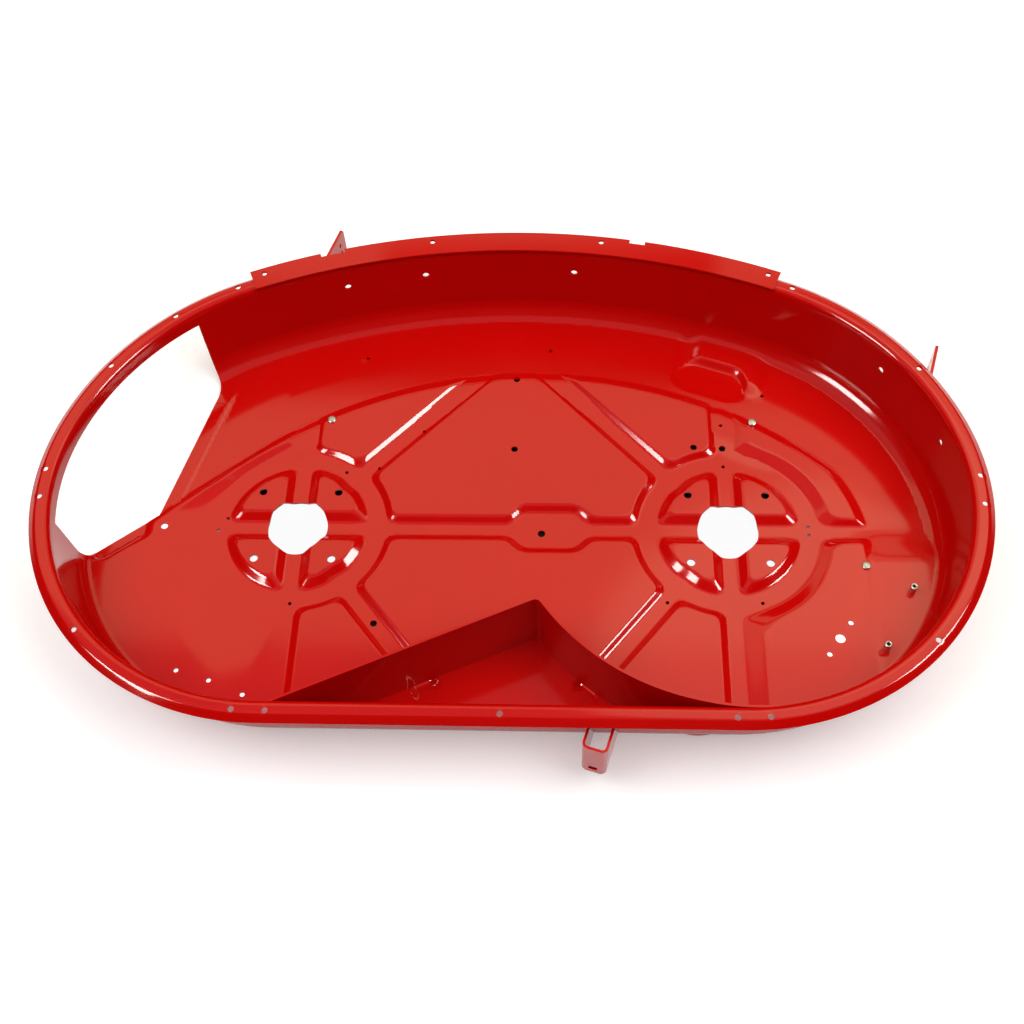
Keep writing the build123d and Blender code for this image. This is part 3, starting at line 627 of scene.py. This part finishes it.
def floor_spots(xy):
    """Points and unit normals of the floor over plan points, the slopes by central differences."""
    x, y = xy[:, 0], xy[:, 1]
    eps = 0.02
    slope_x = (floor_height(x + eps, y) - floor_height(x - eps, y)) / (2 * eps)
    slope_y = (floor_height(x, y + eps) - floor_height(x, y - eps)) / (2 * eps)
    normal = np.stack([-slope_x, -slope_y, np.ones_like(x)], axis=-1)
    normal = normal / np.linalg.norm(normal, axis=1, keepdims=True)
    return np.stack([x, y, floor_height(x, y)], axis=-1), normal


def wall_spots(st):
    """Points and unit normals of the wall and flange over rim length and section distance."""
    inset, height, du, dz = section_at(st[:, 1])
    place, outward, _ = rim_place(st[:, 0], inset)
    size = np.hypot(du, dz)
    level = (-dz / size)[:, None] * outward
    normal = np.concatenate([level, (-du / size)[:, None]], axis=1)
    return np.concatenate([place, height[:, None]], axis=1), normal


# The wall unrolled: rim length across and section distance up, with the discharge cut out of its foot.
FLANGE_HOLE, FLANGE_HOLE_INSET = 3.7, 12.5
WALL_HOLE, WALL_HOLE_HEIGHT = 4.3, 72.0
REAR_HOLES = (-301.0, -262.0, -1.0, 260.0, 297.0)
END_HOLES, CORNER_HOLES = (-43.0, -4.9, 2.7), (32.0, 64.5, 49.7)
WALL_HOLES = ((-234.0, 342.6), (-127.0, 363.9), (79.0, 368.9), (481.0, 202.0), (542.0, 88.0))
end_runs = END_RADIUS * np.radians(np.add(END_HOLES, 90.0))
corner_runs = CORNER_RADIUS * (np.radians(np.add(CORNER_HOLES, 90.0)) - END_SWEEP)
rim_holes = np.concatenate([
    RIM_MARKS[1] + np.array(REAR_HOLES) + END_OFFSET - RIM_SHIFT,
    RIM_MARKS[2] + end_runs,
    RIM_MARKS[3] + corner_runs[:-1],
    RIM_MARKS[1] - end_runs,
    RIM_MARKS[6] - corner_runs,
])
flange_t = np.interp(-FLANGE_HOLE_INSET, -SECTION[:, 0], SECTION_T)
wall_t = wall_distance(WALL_HOLE_HEIGHT)


def unrolled_hole(s, t, radius):
    """Loop of a round hole on the unrolled wall, widened by the stretch of the rim there."""
    loop = ring_loop(0.0, 0.0, radius)
    _, _, stretch = rim_place(np.array([s]), section_at(np.array([t]))[0])
    return loop / [stretch[0], 1.0] + [s, t]


def at_level(run, level):
    """Points along a run of distances, all at one level."""
    return np.column_stack([run, np.full(len(run), level)])


CUT_GAP = 3.0
wall_hole_inset = section_at(wall_t)[0]
wall_holes = [unrolled_hole(s % RIM_LENGTH, flange_t, FLANGE_HOLE) for s in rim_holes]
wall_holes += [unrolled_hole(rim_length_at(x, y, wall_hole_inset), wall_t, WALL_HOLE) for x, y in WALL_HOLES]
wall_columns = np.arange(SEAM_STEP, RIM_LENGTH - SEAM_STEP / 2, SEAM_STEP)
join = at_level(SECTION_T[SECTION_T > hoop_t + 1.0], RIM_LENGTH)[:, ::-1]
wall_border = np.concatenate([
    at_level(seam_s[:-1], 0.0),
    np.stack([cut_front, cut_t], axis=-1),
    at_level(np.append(wall_columns[wall_columns > cut_front[-1] + CUT_GAP], RIM_LENGTH), hoop_t),
    join,
    at_level(wall_columns[::-1], SECTION_T[-1]),
    (join - [RIM_LENGTH, 0.0])[::-1],
    at_level(np.append(0.0, wall_columns[wall_columns < cut_rear[-1] - CUT_GAP]), hoop_t),
    np.stack([cut_rear, cut_t], axis=-1)[:0:-1],
])
unrolled, wall_net = fill_outline(wall_border, wall_holes, lattice(wall_columns, SECTION_T[1:-1]), 0.8)


def add_nodes(tree, *kinds):
    """Adds shader nodes of the given kinds and returns them."""
    return [tree.nodes.new("ShaderNode" + kind) for kind in kinds]


def set_inputs(node, **values):
    """Sets a node's sockets, named with _ for a space, to plain values."""
    for label, value in values.items():
        node.inputs[label.replace("_", " ")].default_value = value


def wire(tree, *links):
    """Joins nodes, each link given as a node, its output, another node and its input."""
    for source, output, target, entry in links:
        tree.links.new(source.outputs[output], target.inputs[entry])


def new_material(name):
    """Adds a node material and returns it with its tree and shader."""
    material = bpy.data.materials.new(name)
    material.use_nodes = True
    return material, material.node_tree, material.node_tree.nodes["Principled BSDF"]


def paint_group():
    """Node group of the paint's detail: a slow drift of its depth and a fine orange peel, both noise."""
    group = bpy.data.node_groups.new("paint_detail", "ShaderNodeTree")
    out = group.nodes.new("NodeGroupOutput")
    coords, drift, peel = add_nodes(group, "TexCoord", "TexNoise", "TexNoise")
    set_inputs(drift, Scale=6.0, Detail=3.0)
    set_inputs(peel, Scale=260.0, Detail=2.0)
    for label, noise in (("Drift", drift), ("Peel", peel)):
        group.interface.new_socket(label, in_out="OUTPUT", socket_type="NodeSocketFloat")
        wire(group, (coords, "Object", noise, "Vector"), (noise, "Fac", out, label))
    return group


def paint_material(name, deep, bright, gloss):
    """Glossy paint: the drift moves its colour between two depths and its gloss a little; the peel bumps it."""
    material, tree, shader = new_material(name)
    detail = tree.nodes.new("ShaderNodeGroup")
    detail.node_tree = paint_group()
    mix, rough, bump = add_nodes(tree, "Mix", "MapRange", "Bump")
    mix.data_type = "RGBA"
    mix.inputs["A"].default_value = (*deep, 1.0)
    mix.inputs["B"].default_value = (*bright, 1.0)
    set_inputs(rough, To_Min=gloss - 0.02, To_Max=gloss + 0.03)
    set_inputs(bump, Strength=0.03, Distance=0.0002)
    wire(tree, (detail, "Drift", mix, "Factor"), (mix, "Result", shader, "Base Color"),
         (detail, "Drift", rough, "Value"), (rough, "Result", shader, "Roughness"),
         (detail, "Peel", bump, "Height"), (bump, "Normal", shader, "Normal"))
    return material


red_paint = paint_material("red_paint_gloss", (0.52, 0.0012, 0.0006), (0.60, 0.0020, 0.0010), 0.10)
shell_patches = [(*floor_spots(plan), floor_net), (*wall_spots(unrolled), wall_net)]
shell = sheet_piece("deck_shell_sheet", shell_patches, SHEET)
shell.data.materials.append(red_paint)
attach(shell, "root")
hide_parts("deck_shell")

# Rear baffle: a strip of the same sheet, folded to a straight wing and a wing curved round the right blade.
# It stands on the plate and is welded to it and to the rear wall, and is painted with the deck.
BAFFLE_TOP = 106.0
BAFFLE_APEX, BAFFLE_FOLD = np.array([40.0, -152.0]), 10.0
BAFFLE_LEFT = np.array([-262.0, -288.0])
BAFFLE_RADIUS = 284.0
BAFFLE_OUT, BAFFLE_DRAW = 26.0, 90.0
BAFFLE_ROWS, BAFFLE_STEP = (6.0, 14.0, 24.0, 60.0, 90.0), 3.0
WELD_SINK = 1.2


def wall_inset(z):
    """Inset of the wall's inner face at a height: the foot's circle low down, the drafted line above."""
    low = FLOOR + FOOT_RADIUS - np.clip(z, FLOOR, FLOOR + FOOT_RADIUS)
    foot = FOOT_INSET - np.sqrt(np.maximum(FOOT_RADIUS**2 - low**2, 0.0))
    line = FLANGE_WIDTH + (MOUTH - z) * np.tan(WALL_DRAFT)
    return np.where(z < FLOOR + FOOT_RADIUS, np.maximum(foot, line), line)


def path_frame(path, at):
    """Point and unit direction along a plan path at given lengths."""
    lengths = np.concatenate([[0.0], np.cumsum(np.hypot(*np.diff(path, axis=0).T))])
    spot, aim = (np.stack([np.interp(at, lengths, way[:, k]) for k in (0, 1)], axis=-1)
                 for way in (path, np.gradient(path, lengths, axis=0)))
    return spot, aim / np.linalg.norm(aim, axis=1, keepdims=True), lengths[-1]


def strip_border(length, low, high, step):
    """Border of an unrolled strip, with points along its long edges."""
    run = np.linspace(0.0, length, int(length / step) + 1)
    return np.concatenate([at_level(run, low), at_level(run, high)[::-1]])


spindle_right = np.array([SPINDLE_X, 0.0])
wing = (BAFFLE_APEX - spindle_right) / np.linalg.norm(BAFFLE_APEX - spindle_right)
entry = spindle_right + BAFFLE_RADIUS * wing
along_wing = np.array([-wing[1], wing[0]])
fold = round_corner(BAFFLE_LEFT, entry, entry + 5 * BAFFLE_FOLD * along_wing, BAFFLE_FOLD)
wing_start = np.arctan2(*(fold[-1] - spindle_right)[::-1]) % (2 * np.pi)
wing_angles = np.linspace(wing_start, REARWARD, 60)[1:]
curved = spindle_right + BAFFLE_RADIUS * circle(wing_angles)
straight = np.linspace(BAFFLE_LEFT, fold[0], 40, endpoint=False)
baffle_path = np.concatenate([straight, fold, curved, [curved[-1] + [BAFFLE_OUT, 0.0]]])
straight_length = np.linalg.norm(fold[0] - BAFFLE_LEFT)
_, _, baffle_length = path_frame(baffle_path, np.zeros(1))
baffle_border = strip_border(baffle_length, 0.0, BAFFLE_TOP, 4.0)
baffle_grid = lattice(np.arange(BAFFLE_STEP, baffle_length, BAFFLE_STEP), BAFFLE_ROWS)
flat_baffle, baffle_net = fill_outline(baffle_border, [], baffle_grid, 1.0)


def baffle_spots(qz):
    """The strip stood on edge along its path; the left end is drawn to the slope of the rear wall and the
    right end is laid against it."""
    q, z = qz[:, 0], qz[:, 1]
    spot, aim, _ = path_frame(baffle_path, q)
    heading = (fold[0] - BAFFLE_LEFT) / straight_length
    wall_y = -REAR_REACH + wall_inset(z)
    reach = (fold[0][1] - wall_y + WELD_SINK) / heading[1]
    left = (np.clip(straight_length - q, 0.0, None) * (1.0 - reach / straight_length))[:, None] * heading
    pull = rise(q, baffle_length - BAFFLE_DRAW, baffle_length - BAFFLE_OUT) * (wall_y + SHEET - curved[-1][1])
    spot = spot + left + np.stack([np.zeros_like(pull), pull], axis=-1)
    normal = np.stack([-aim[:, 1], aim[:, 0], np.zeros_like(q)], axis=-1)
    return np.concatenate([spot, z[:, None]], axis=1), normal


baffle = sheet_piece("rear_baffle_strip", [(*baffle_spots(flat_baffle), baffle_net)], SHEET)
baffle.data.materials.append(red_paint)
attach(baffle, "root")
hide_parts("rear_baffle")

# Front strip: a flat steel strip cut to the curve of the front edge, with two notches and four holes.
# It lies on the front flange, is welded there and painted with the deck.
STRIP_THICK, STRIP_WIDTH, STRIP_OVER = 3.0, 32.0, 4.0
STRIP_HALF = np.radians(22.6)
STRIP_NOTCHES, STRIP_NOTCH_DEPTH = ((-15.5, 33.0), (10.4, 21.0)), 6.0
STRIP_HOLES, STRIP_HOLE_RADIUS, STRIP_HOLE_INSET = (-21.5, -7.0, 7.4, 21.7), 3.6, 6.0
strip_outer = FRONT_RADIUS + STRIP_OVER
strip_centre = FRONT_CENTRE + [RIM_SHIFT, 0.0]


def front_arc(start, end, radius):
    """Points of an arc about the front edge's centre, angles counted from straight ahead."""
    a = np.linspace(start, end, max(int(abs(end - start) * radius / 6.0), 2))
    return strip_centre + radius * np.stack([np.sin(a), np.cos(a)], axis=-1)


strip_edge = [front_arc(-STRIP_HALF, STRIP_HALF, strip_outer - STRIP_WIDTH)]
last = STRIP_HALF
for angle, width in STRIP_NOTCHES[::-1]:
    first, second = np.radians(angle) + np.array([0.5, -0.5]) * width / strip_outer
    strip_edge.append(front_arc(last, first, strip_outer))
    strip_edge.append(front_arc(first, second, strip_outer - STRIP_NOTCH_DEPTH))
    last = second
strip_edge.append(front_arc(last, -STRIP_HALF, strip_outer))
hole_radius = FRONT_RADIUS - STRIP_HOLE_INSET
strip_holes = [ring_loop(*(strip_centre + hole_radius * np.array([np.sin(a), np.cos(a)])), STRIP_HOLE_RADIUS)
               for a in np.radians(STRIP_HOLES)]
flat_strip, strip_net = fill_outline(np.concatenate(strip_edge), strip_holes, np.zeros((0, 2)), 1.0)
strip_spots = np.column_stack([flat_strip, np.full(len(flat_strip), MOUTH + STRIP_THICK)])
strip_normals = np.tile([0.0, 0.0, 1.0], (len(flat_strip), 1))
strip = sheet_piece("front_strip_plate", [(strip_spots, strip_normals, strip_net)], STRIP_THICK)
strip.data.materials.append(red_paint)
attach(strip, "root")
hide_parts("front_strip")

# Gauge wheel brackets: two upright steel plates with a row of three holes, set along the line of travel.
# Each is cut to the slope of the wall, welded to it outside, and painted with the deck.
TRAVEL = np.radians(17.0)
BRACKET_THICK, BRACKET_TOP, BRACKET_TIP, BRACKET_ROOT = 4.0, 95.0, 50.0, 78.0
BRACKET_CORNER, BRACKET_INSIDE, BRACKET_HOLE, BRACKET_PITCH, BRACKET_SINK = 7.0, 16.0, 3.2, 14.0, 2.2
travel = np.array([np.sin(TRAVEL), np.cos(TRAVEL)])
across = np.array([travel[1], -travel[0], 0.0])


def bracket_plate(name, node, tip, length):
    """Flat profile cut along the wall: the inner edge is where the plate's line reaches the wall's sheet."""
    low, root = BRACKET_TOP - BRACKET_TIP, BRACKET_TOP - BRACKET_ROOT
    fine = np.linspace(-length, 0.0, 400)
    depth = rim_inset(tip[0] + travel[0] * fine, tip[1] + travel[1] * fine)
    z = np.linspace(BRACKET_TOP, root, 40)
    inner = np.interp(wall_inset(z) - BRACKET_SINK, depth[::-1], fine[::-1])
    under = root + (inner + length) / (length - BRACKET_CORNER) * (low - root)
    keep = z > under
    inner_edge = np.stack([inner, z], axis=-1)[keep]
    top_tip, low_tip, below = np.array([(0.0, BRACKET_TOP), (0.0, low), (-BRACKET_CORNER, low)])
    top_round = round_corner(inner_edge[0], top_tip, low_tip, BRACKET_CORNER / 2)
    low_round = round_corner(top_tip, low_tip, below, BRACKET_CORNER / 2)
    border = np.concatenate([inner_edge, [below], low_round[::-1], top_round[::-1]])
    holes = [ring_loop(-BRACKET_INSIDE, BRACKET_TOP - BRACKET_INSIDE - k * BRACKET_PITCH, BRACKET_HOLE, 1.2)
             for k in range(3)]
    flat, net = fill_outline(border, holes, np.zeros((0, 2)), 1.0)
    place = np.array(tip) + flat[:, :1] * travel
    spots = np.column_stack([place, flat[:, 1]]) + across * BRACKET_THICK / 2
    plate = sheet_piece(name, [(spots, np.tile(across, (len(flat), 1)), net)], BRACKET_THICK)
    plate.data.materials.append(red_paint)
    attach(plate, "root")
    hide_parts(node)


bracket_plate("gauge_bracket_left_plate", "gauge_bracket_left", (-248.0, 428.0), 100.0)
bracket_plate("gauge_bracket_right_plate", "gauge_bracket_right", (552.0, 226.0), 120.0)

# Sway bar bracket: a strap of 3 mm steel bent to a U with a square slot in its end.
# Its two ends are welded to the outside of the rear wall, and it is painted with the deck.
STRAP_AT, STRAP_WIDTH, STRAP_THICK, STRAP_BEND = np.array([103.0, -333.0]), 30.0, 3.2, 7.0
STRAP_TOP, STRAP_TALL = 85.0, 68.0
SLOT_WIDTH, SLOT_TALL, SLOT_LIFT = 10.0, 9.0, 8.0
STRAP_LEG, STRAP_STEP, STRAP_ROW = 60.0, 1.5, 12.0
side_way = np.array([np.cos(TRAVEL), -np.sin(TRAVEL)])
corner_left, corner_right = (STRAP_AT + part * STRAP_WIDTH / 2 * side_way for part in (-1, 1))
end_left, end_right = corner_left + STRAP_LEG * travel, corner_right + STRAP_LEG * travel
strap_path = np.concatenate([
    np.linspace(end_left, corner_left + STRAP_BEND * travel, 8, endpoint=False),
    round_corner(end_left, corner_left, corner_right, STRAP_BEND),
    round_corner(corner_left, corner_right, end_right, STRAP_BEND),
    np.linspace(corner_right + STRAP_BEND * travel, end_right, 9)[1:],
])
_, _, strap_length = path_frame(strap_path, np.zeros(1))
strap_low = STRAP_TOP - STRAP_TALL
slot_low = strap_low + SLOT_LIFT
slot_left, slot_right = strap_length / 2 - SLOT_WIDTH / 2, strap_length / 2 + SLOT_WIDTH / 2
slot_loop = np.array([(slot_left, slot_low), (slot_right, slot_low),
                      (slot_right, slot_low + SLOT_TALL), (slot_left, slot_low + SLOT_TALL)])
strap_rows = np.arange(strap_low + STRAP_ROW / 2, STRAP_TOP, STRAP_ROW)
strap_grid = lattice(np.arange(STRAP_STEP, strap_length, STRAP_STEP), strap_rows)
strap_border = strip_border(strap_length, strap_low, STRAP_TOP, STRAP_STEP)
flat_strap, strap_net = fill_outline(strap_border, [slot_loop], strap_grid, 0.8)


def strap_spots(qz):
    """The strip stood on edge along its U, each leg ending where it reaches the wall's sheet."""
    q, z = qz[:, 0], qz[:, 1]
    spot, aim, _ = path_frame(strap_path, q)
    leg = STRAP_LEG - STRAP_BEND
    for end, start in ((end_left, 0.0), (end_right, strap_length)):
        wanted = (-REAR_REACH + wall_inset(z) - WELD_SINK - end[1]) / travel[1]
        share = np.clip(1.0 - np.abs(q - start) / leg, 0.0, 1.0)
        spot = spot + (share * wanted)[:, None] * travel
    normal = np.stack([aim[:, 1], -aim[:, 0], np.zeros_like(q)], axis=-1)
    return np.concatenate([spot, z[:, None]], axis=1), normal


strap = sheet_piece("sway_bar_strap", [(*strap_spots(flat_strap), strap_net)], STRAP_THICK)
strap.data.materials.append(red_paint)
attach(strap, "root")
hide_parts("sway_bar_bracket")

# Plate studs: three short pins of zinc plated steel with low round heads, set in punched holes.
# Their heads stand on the mouth side of the plate and the shanks pass through it.
STUD_HEAD, STUD_HEAD_TALL, STUD_SHANK, STUD_LONG = 5.5, 3.0, 3.9, 14.0
SHANK_BEVEL, HEAD_ROUND = 0.5, ((0.0, 1.0), (0.4, 0.35), (1.2, 0.0))
SHARP_OVER = np.radians(35.0)


def turned_piece(name, profile, places, count=40):
    """Turned shape: a closed profile of radius and height carried round an upright axis at each place."""
    profile = np.asarray(profile, float)
    a = np.linspace(0.0, 2 * np.pi, count, endpoint=False)
    ring = np.stack([np.outer(np.cos(a), profile[:, 0]), np.outer(np.sin(a), profile[:, 0]),
                     np.tile(profile[:, 1], (count, 1))], axis=-1).reshape(-1, 3)
    rows = len(profile)
    i, j = np.meshgrid(np.arange(count), np.arange(rows - 1), indexing="ij")
    one, two = i * rows + j, (i + 1) % count * rows + j
    faces = np.stack([one, two, two + 1, one + 1], axis=-1).reshape(-1, 4)
    points = np.concatenate([ring + [x, y, 0.0] for x, y in places])
    net = np.concatenate([faces + k * len(ring) for k in range(len(places))])
    mesh = bpy.data.meshes.new(name)
    mesh.from_pydata((points * 0.001).tolist(), [], net.tolist())
    mesh.validate()
    mesh.polygons.foreach_set("use_smooth", np.ones(len(mesh.polygons), bool))
    mesh.set_sharp_from_angle(angle=SHARP_OVER)
    return add_object(name, mesh)


def zinc_material():
    """Bright zinc plate: fine mottling of its grey and gloss."""
    material, tree, shader = new_material("zinc_plate")
    shader.inputs["Metallic"].default_value = 1.0
    coords, mottle, mix, rough = add_nodes(tree, "TexCoord", "TexNoise", "Mix", "MapRange")
    set_inputs(mottle, Scale=900.0, Detail=3.0)
    mix.data_type = "RGBA"
    mix.inputs["A"].default_value = (0.52, 0.52, 0.50, 1.0)
    mix.inputs["B"].default_value = (0.72, 0.72, 0.70, 1.0)
    set_inputs(rough, To_Min=0.25, To_Max=0.45)
    wire(tree, (coords, "Object", mottle, "Vector"), (mottle, "Fac", mix, "Factor"),
         (mix, "Result", shader, "Base Color"), (mottle, "Fac", rough, "Value"),
         (rough, "Result", shader, "Roughness"))
    return material


zinc = zinc_material()
head_round = [(STUD_HEAD - inset, STUD_HEAD_TALL - drop) for inset, drop in HEAD_ROUND]
stud_profile = [(0.0, -STUD_LONG), (STUD_SHANK - SHANK_BEVEL, -STUD_LONG),
                (STUD_SHANK, SHANK_BEVEL - STUD_LONG), (STUD_SHANK, 0.0), (STUD_HEAD, 0.0), *head_round,
                (0.0, STUD_HEAD_TALL)]
studs = turned_piece("plate_stud_pins", stud_profile, STUD_PLACES)
studs.data.materials.append(zinc)
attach(studs, "root")
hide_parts("plate_studs")

# Tubular rivets: two zinc plated steel tubes that stand up from the plate at its right end.
# Each has its head on the far side of the sheet and an open bore at the top.
TUBE, TUBE_BORE, TUBE_TALL, TUBE_HEAD, TUBE_HEAD_THICK = 4.3, 2.3, 13.0, 7.0, 1.6
TUBE_BEVEL, BORE_BEVEL = 0.6, 0.4
tube_foot = -SHEET - TUBE_HEAD_THICK
tube_profile = [(0.0, tube_foot), (TUBE_HEAD - TUBE_BEVEL, tube_foot), (TUBE_HEAD, tube_foot + TUBE_BEVEL),
                (TUBE_HEAD, -SHEET), (TUBE, -SHEET), (TUBE, TUBE_TALL - TUBE_BEVEL),
                (TUBE - TUBE_BEVEL, TUBE_TALL), (TUBE_BORE + BORE_BEVEL, TUBE_TALL),
                (TUBE_BORE, TUBE_TALL - BORE_BEVEL), (TUBE_BORE, -SHEET), (0.0, -SHEET)]
rivets = turned_piece("tubular_rivet_pair", tube_profile, TUBE_PLACES)
rivets.data.materials.append(zinc)
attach(rivets, "root")
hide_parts("tubular_rivets")

# Floor: a plain pale studio floor, white to the camera and in reflections, with the deck's soft shadow on it.
# Under the deck its colour is painted shade, near black and without glow. In a few boxes under the spindle
# holes and other holes it glows nearly white, which is painted light.
FLOOR_SIZE = 12.0
# The floor's even pale colour, and the near-black painted shade colour under the deck.
PALE, PAINTED_SHADE_GREY = 0.92, 0.02
# The even glow around the deck, and the painted light glow in the boxes under the holes.
GLOW_AROUND, PAINTED_LIGHT_GLOW = 0.3, 0.95
# Painted shade: inside this box under the deck the floor's colour drops to near black and its glow goes.
SHADE_BOX = ((0.0, 0.055), (0.385, 0.255))
# Painted light: in these boxes under the holes the floor glows nearly white.
PAINTED_LIGHT_BOXES = (((-0.279, -0.01), (0.075, 0.062)), ((0.279, -0.01), (0.075, 0.062)),
               ((0.412, -0.14), (0.045, 0.045)), ((-0.363, -0.21), (0.065, 0.035)),
               ((-0.452, 0.006), (0.02, 0.02)))
BOX_EDGE = (0.94, 1.06)


def box_level(tree, box, inside, outside):
    """Value that is one level in a box with round corners and another outside it: by the root of the sum of
    the fourth powers of the place across it, which is one at its sides."""
    centre, half = box
    coords, shift, level = add_nodes(tree, "TexCoord", "Mapping", "MapRange")
    square, length = add_nodes(tree, "VectorMath", "VectorMath")
    share = 1 / half[0], 1 / half[1]
    set_inputs(shift, Location=(-centre[0] * share[0], -centre[1] * share[1], 0.0), Scale=(*share, 0.0))
    set_inputs(level, From_Min=BOX_EDGE[0], From_Max=BOX_EDGE[1], To_Min=inside, To_Max=outside)
    square.operation = "MULTIPLY"
    length.operation = "LENGTH"
    wire(tree, (coords, "Object", shift, "Vector"), (shift, "Vector", square, 0),
         (shift, "Vector", square, 1), (square, "Vector", length, 0), (length, "Value", level, "Value"))
    return level.outputs["Result"]


def combined(tree, operation, first, *others):
    """Output of a chain of Math nodes that takes up one output after another."""
    for other in others:
        math = tree.nodes.new("ShaderNodeMath")
        math.operation = operation
        tree.links.new(first, math.inputs[0])
        tree.links.new(other, math.inputs[1])
        first = math.outputs["Value"]
    return first


floor_level = float(cad_box[0][2])
half = FLOOR_SIZE / 2
floor_mesh = bpy.data.meshes.new("studio_floor")
floor_corners = [(x * half, y * half, floor_level) for x, y in ((-1, -1), (1, -1), (1, 1), (-1, 1))]
floor_mesh.from_pydata(floor_corners, [], [(0, 1, 2, 3)])
floor = add_object("studio_floor", floor_mesh)
floor_material, tree, shader = new_material("studio_floor_white")
shader.inputs["Roughness"].default_value = 0.9
shader.inputs["Specular IOR Level"].default_value = 0.0
shader.inputs["Emission Color"].default_value = (1.0, 1.0, 1.0, 1.0)
path = tree.nodes.new("ShaderNodeLightPath")
rays = (path.outputs[f"Is {kind} Ray"] for kind in ("Camera", "Glossy", "Transmission"))
seen = combined(tree, "ADD", *rays)
# Glow: even around the deck, none in the painted shade box, and painted light in the boxes under the holes.
glow = combined(tree, "ADD", box_level(tree, SHADE_BOX, 0.0, GLOW_AROUND),
                *(box_level(tree, box, PAINTED_LIGHT_GLOW, 0.0) for box in PAINTED_LIGHT_BOXES))
tree.links.new(combined(tree, "MULTIPLY", seen, glow), shader.inputs["Emission Strength"])
# Painted shade: the floor's colour is near black inside the shade box under the deck.
tree.links.new(box_level(tree, SHADE_BOX, PAINTED_SHADE_GREY, PALE), shader.inputs["Base Color"])
floor_mesh.materials.append(floor_material)

# Light: warm panels on the ceiling ahead of the deck, whose edges bound the pale reflections in the plate,
# and a small soft box on each side that gives the bright streaks. The fills only light the paint itself.
def panel(name, place, aim, width, height, radiance):
    """Area light of a given radiance, turned from its place towards a point."""
    lamp = bpy.data.lights.new(name, "AREA")
    lamp.shape = "RECTANGLE"
    lamp.size = width
    lamp.size_y = height
    lamp.energy = radiance * width * height * np.pi
    lit = add_object(name, lamp)
    lit.location = place
    lit.rotation_euler = (Vector(aim) - Vector(place)).to_track_quat("-Z", "Y").to_euler()
    return lit


def aimed(rise_deg, turn_deg):
    """Point on a sphere of lamps, by its height angle and its angle from the right towards the front."""
    up, turn = np.radians([rise_deg, turn_deg])
    return tuple(LAMP_DISTANCE * np.array([np.cos(up) * np.cos(turn), np.cos(up) * np.sin(turn), np.sin(up)]))


MIDDLE = (0.0, 0.0, 0.0)
LAMP_DISTANCE = 3.0
WARM, SOFT_WHITE = (1.0, 0.95, 0.62), (1.0, 0.98, 0.92)
CEILING = 2.6
CEILING_PANELS = (
    ("front_panel", 0.0, 1.665, 4.4, 1.23, 1.08, WARM),
    ("far_panel", 0.0, 3.14, 4.4, 0.92, 0.95, WARM),
    ("far_panel_left", -1.4, 2.565, 1.5, 0.23, 0.95, WARM),
    ("far_panel_right", 1.4, 2.565, 1.5, 0.23, 0.95, WARM),
    ("overhead_panel", 0.0, 0.05, 4.4, 2.6, 0.28, (1.0, 1.0, 1.0)),
)
GLOW_PLACE, GLOW_DROP, GLOW_LEVEL = (1.25, 0.9), 0.02, 0.75
SOFT_BOX_LEVEL, SIDE_FILL_LEVEL, CEILING_FILL_LEVEL, REAR_FILL_LEVEL = 24.0, 3.2, 0.42, 0.7
for label, x, y, width, height, radiance, colour in CEILING_PANELS:
    panel(label, (x, y, CEILING), (x, y, 0.0), width, height, radiance).data.color = colour
for label, size in (("wide", (2.2, 1.7)), ("core", (1.2, 1.0))):
    place, below = (*GLOW_PLACE, CEILING - GLOW_DROP), (*GLOW_PLACE, 0.0)
    glow_panel = panel("right_glow_" + label, place, below, *size, GLOW_LEVEL)
    glow_panel.data.shape = "ELLIPSE"
    glow_panel.data.color = WARM
for label, rise_deg, turn in (("left", 33.0, 207.0), ("right", 36.0, -10.0)):
    soft_box = panel("soft_box_" + label, aimed(rise_deg, turn), MIDDLE, 1.1, 1.0, SOFT_BOX_LEVEL)
    soft_box.data.color = SOFT_WHITE
    soft_box.visible_diffuse = False
for label, place, side, radiance in (("side_fill_left", aimed(57.0, 192.0), 1.8, SIDE_FILL_LEVEL),
                                     ("side_fill_right", aimed(57.0, -12.0), 1.8, SIDE_FILL_LEVEL),
                                     ("ceiling_fill", (0.0, 0.0, CEILING + 0.2), 4.0, CEILING_FILL_LEVEL),
                                     ("rear_fill", aimed(45.0, -90.0), 1.8, REAR_FILL_LEVEL)):
    panel(label, place, MIDDLE, side, side, radiance).visible_glossy = False
world = bpy.data.worlds.new("studio")
bpy.context.scene.world = world
world.use_nodes = True
set_inputs(world.node_tree.nodes["Background"], Color=(1.0, 1.0, 1.0, 1.0), Strength=0.01)

# Camera: placed as the photo was taken, from the rear and above, with a slight turn and tilt.
CAMERA_RISE, CAMERA_TURN, CAMERA_ROLL = np.radians([58.91, 4.57, -3.45])
CAMERA_SHIFT, CAMERA_DISTANCE, CAMERA_LENS = (0.9, 20.2), 1670.3, 45.43
back = np.array([*(np.cos(CAMERA_RISE) * turned(CAMERA_TURN)), np.sin(CAMERA_RISE)])
level = np.array([np.cos(CAMERA_TURN), np.sin(CAMERA_TURN), 0.0])
upward = np.cross(back, level)
right = np.cos(CAMERA_ROLL) * level + np.sin(CAMERA_ROLL) * upward
top = -np.sin(CAMERA_ROLL) * level + np.cos(CAMERA_ROLL) * upward
spot = 0.001 * (CAMERA_SHIFT[0] * right + CAMERA_SHIFT[1] * top + CAMERA_DISTANCE * back)
lens = bpy.data.cameras.new("photo_camera")
lens.lens = CAMERA_LENS
lens.sensor_width = 36.0
camera = add_object("photo_camera", lens)
camera.matrix_world = Matrix(np.column_stack([right, top, back, spot]).tolist() + [[0.0, 0.0, 0.0, 1.0]])
bpy.context.scene.camera = camera
bpy.context.scene.view_settings.view_transform = "Standard"
